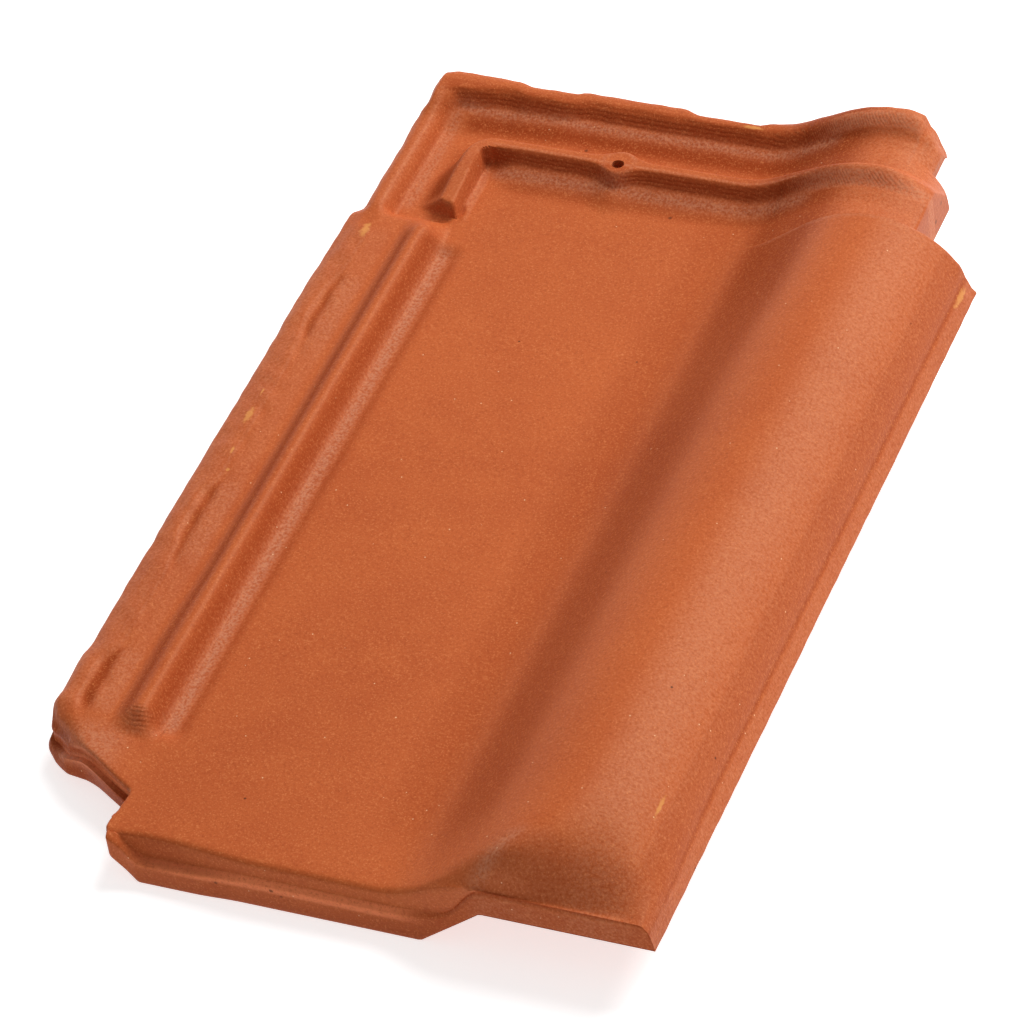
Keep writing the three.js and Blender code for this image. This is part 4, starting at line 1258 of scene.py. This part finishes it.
# %% Sand, glints and pits
colour = blend(fade(mottle, 0.56, 0.70, 0.0, 0.30), colour, GRAIN)
colour = blend(fade(mottle, 0.45, 0.30, 0.0, 0.30), colour, DARK_CLAY_AND_SHADE)
colour = blend(fade(sand, 0.60, 0.72, 0.0, 0.5), colour, GRAIN)
colour = blend(fade(sand, 0.40, 0.28, 0.0, 0.3), colour, DARK_CLAY_AND_SHADE)
cells = shade("TexVoronoi", {"Vector": place, "Scale": 290.0})
pick = shade("SeparateColor", {0: cells.outputs["Color"]}).outputs
# Painted glints
glint = maths("MULTIPLY", fade(cells.outputs["Distance"], 0.095, 0.05), fade(pick[0], 0.90, 0.92))
colour = blend(maths("MULTIPLY", glint, 0.85), colour, PAINTED_GLINT)
# A very few random pits, painted dark for their shade
pit = maths("MULTIPLY", fade(cells.outputs["Distance"], 0.16, 0.10), fade(pick[1], 0.996, 0.998))
colour = blend(pit, colour, PIT_SHADE)
print("Nodes in the clay so far:", len(tree.nodes))

# %% [markdown]
# ## Pits and scrapes
# Handling leaves a few marks that no mould makes: small pits where a grain fell out, painted dark for the
# shade inside them, and scrapes where the yellow slip under the skin shows. Each is one soft, ragged
# ellipse at its own place on the tile.

# %% Pits and scrapes
PITS = [(79.5, 383.5, None, 0.8), (124.7, 354.2, None, 0.8), (92.7, 380.7, None, 0.9),
        (87.7, 0, 8.3, 0.7), (108.6, 0, 9.7, 0.7), (112.1, 0, 7.7, 0.6), (75.2, 0, 10.9, 0.8),
        (251, 313, 23, 0.7), (251, 125, 18, 0.8), (251, 39, 20.5, 0.7), (251, 26, 15.5, 0.7),
        (225.5, 377.2, 28.3, 0.9), (225.5, 370.5, 24.6, 0.9)]
SCRAPES = [(15.2, 316.5, 1.7, 4.6), (13.0, 209.0, 1.5, 4.8), (14.5, 189.5, 0.6, 2.4), (16.9, 180, 0.8, 0.9),
           (142, 402.3, 4.4, 0.9), (248.2, 331, 0.8, 6.8), (238.2, 45, 0.6, 5), (12.8, 222, 0.5, 2.2)]
RAGGED = dict(noise=1.6, outside=1.9, inside=1.3)


def ellipse(x, y, z, half):
    z = read(upper_face, x, y) if z is None else z
    centre = to_scene(np.array([[x, y, z]]))[0]
    away = shade("VectorMath", {0: place, 1: centre}, operation="SUBTRACT").outputs[0]
    scaled = shade("VectorMath", {0: away, 1: [1000 / h for h in half]}, operation="MULTIPLY").outputs[0]
    reach = shade("VectorMath", {0: scaled}, operation="LENGTH").outputs["Value"]
    ragged = maths("ADD", reach, maths("MULTIPLY", fine, RAGGED["noise"]))
    return fade(ragged, RAGGED["outside"], RAGGED["inside"])


pits = pit
for x, y, z, half in PITS:
    pits = maths("MAXIMUM", pits, ellipse(x, y, z, (half, half, half)))
scrapes = 0.0
for x, y, half_x, half_y in SCRAPES:
    scrapes = maths("MAXIMUM", scrapes, ellipse(x, y, None, (half_x, half_y, 3)))
colour = blend(maths("MULTIPLY", scrapes, 0.6), colour, SLIP)
# Painted shade in the placed pits
colour = blend(maths("MULTIPLY", pits, 0.8), colour, PIT_SHADE)
print(len(PITS), "pits and", len(SCRAPES), "scrapes")

# %% [markdown]
# ## The clay's skin
# Unglazed clay is matt. Its sand and the drag lines stand out by a few hundredths of a millimetre, which
# is too fine for the mesh, so they are a bump. The skin that the mould pressed smooth has a faint sheen.
# The pale marks are rougher, and the deep hollows have almost no highlight, so both follow the marks.

# %% Clay surface
height = maths("ADD", maths("MULTIPLY", fine, 0.7), maths("MULTIPLY", sand, 0.35))
height = maths("SUBTRACT", height, maths("MULTIPLY", line, 0.55))
bump = shade("Bump", {"Strength": 0.55, "Distance": 0.00035, "Height": height})
shader = tree.nodes["Principled BSDF"]
tree.links.new(colour, shader.inputs["Base Color"])
tree.links.new(bump.outputs["Normal"], shader.inputs["Normal"])
tree.links.new(fade(mark("pale_and_highlight"), 0, 1, 0.46, 0.6), shader.inputs["Roughness"])
tree.links.new(fade(mark("shade_and_dark_tone"), 0.15, 0.85, 0.15, 0.02), shader.inputs["Specular IOR Level"])
shader.inputs["Specular Tint"].default_value = (1.0, 0.82, 0.50, 1)
mesh.materials.append(clay)
print("Nodes in the clay:", len(tree.nodes))

# %% [markdown]
# ## The floor
# The tile lies on a white studio floor. It's a pale grey that takes the tile's shadow, and it glows a
# little. The camera sees more of the glow than the tile does, so the floor can look white without
# lighting the tile from below as strongly.

# %% Floor
FLOOR_HALF = 4.0
FLOOR_GREY = (0.82, 0.82, 0.82, 1)
FLOOR_GLOW = dict(on_the_tile=0.38, seen=0.66)
WHITE = (1, 1, 1, 1)
floor_mesh = bpy.data.meshes.new("floor")
floor_mesh.from_pydata([(-FLOOR_HALF, -FLOOR_HALF, 0), (FLOOR_HALF, -FLOOR_HALF, 0),
                        (FLOOR_HALF, FLOOR_HALF, 0), (-FLOOR_HALF, FLOOR_HALF, 0)], [], [(0, 1, 2, 3)])
floor = bpy.data.objects.new("floor", floor_mesh)
bpy.context.scene.collection.objects.link(floor)
white = bpy.data.materials.new("white_floor")
white.use_nodes = True
tree = white.node_tree


def seen_directly():
    path = shade("LightPath", {}).outputs
    either = maths("MAXIMUM", path["Is Camera Ray"], path["Is Glossy Ray"])
    return maths("MAXIMUM", either, path["Is Transmission Ray"])


surface = tree.nodes["Principled BSDF"]
surface.inputs["Base Color"].default_value = FLOOR_GREY
surface.inputs["Roughness"].default_value = 0.9
surface.inputs["Emission Color"].default_value = WHITE
glow = fade(seen_directly(), 0, 1, FLOOR_GLOW["on_the_tile"], FLOOR_GLOW["seen"])
tree.links.new(glow, surface.inputs["Emission Strength"])
floor_mesh.materials.append(white)
print("Floor:", 2 * FLOOR_HALF, "m wide")

# %% [markdown]
# ## The world
# A white room fills the shadows with a weak, even light. The camera sees the same room at full white, so
# the backdrop needs no lamp of its own.

# %% World
WORLD_FILL = 0.28
world = bpy.data.worlds.new("studio")
bpy.context.scene.world = world
world.use_nodes = True
tree = world.node_tree
tree.nodes.clear()
fill = shade("Background", {"Color": WHITE, "Strength": WORLD_FILL}).outputs[0]
seen = shade("Background", {"Color": WHITE, "Strength": 1.0}).outputs[0]
room = shade("MixShader", {0: seen_directly(), 1: fill, 2: seen}).outputs[0]
shade("OutputWorld", {"Surface": room})
print("Fill light:", WORLD_FILL)

# %% [markdown]
# ## The key lamp
# One large soft lamp stands behind the head and to the right. From there it rakes across the ribs, so
# their walls towards the tail and the left flank of the roll fall dark, and the shapes read. Painted shade
# in the clay darkens them further.

# %% Key lamp
KEY_DIRECTION = Vector((0.29, 0.57, 0.768)).normalized()
KEY = dict(width=2.3, watts=115, distance=3.2)
key_data = bpy.data.lights.new("key", "AREA")
key_data.shape = "DISK"
key_data.size = KEY["width"]
key_data.energy = KEY["watts"]
key = bpy.data.objects.new("key", key_data)
key.location = KEY_DIRECTION * KEY["distance"]
key.rotation_mode = "QUATERNION"
key.rotation_quaternion = KEY_DIRECTION.to_track_quat("Z", "Y")
bpy.context.scene.collection.objects.link(key)
print("Key lamp:", KEY["watts"], "W,", KEY["width"], "m wide")

# %% [markdown]
# ## The camera
# A long lens a little over two metres away keeps the tile's long edges nearly parallel, so its proportions
# read true. The camera aims at the middle of the tile and is rolled a few degrees to fill the frame.

# %% Camera
CAMERA_PLACE = Vector((0.76566, -1.51536, 1.52978))
CAMERA_AIM = Vector((-0.003866, -0.01103, 0.02))
CAMERA_ROLL = math.radians(8.307)
CAMERA_LENS = 220.71
camera_data = bpy.data.cameras.new("camera")
camera_data.lens = CAMERA_LENS
camera_data.sensor_width = 36
camera = bpy.data.objects.new("camera", camera_data)
camera.location = CAMERA_PLACE
aim = (CAMERA_AIM - CAMERA_PLACE).to_track_quat("-Z", "Y")
camera.rotation_mode = "QUATERNION"
camera.rotation_quaternion = aim @ Euler((0, 0, -CAMERA_ROLL)).to_quaternion()
bpy.context.scene.collection.objects.link(camera)
bpy.context.scene.camera = camera
bpy.context.scene.view_settings.view_transform = "Standard"
print("Camera distance:", round((CAMERA_AIM - CAMERA_PLACE).length, 2), "m")
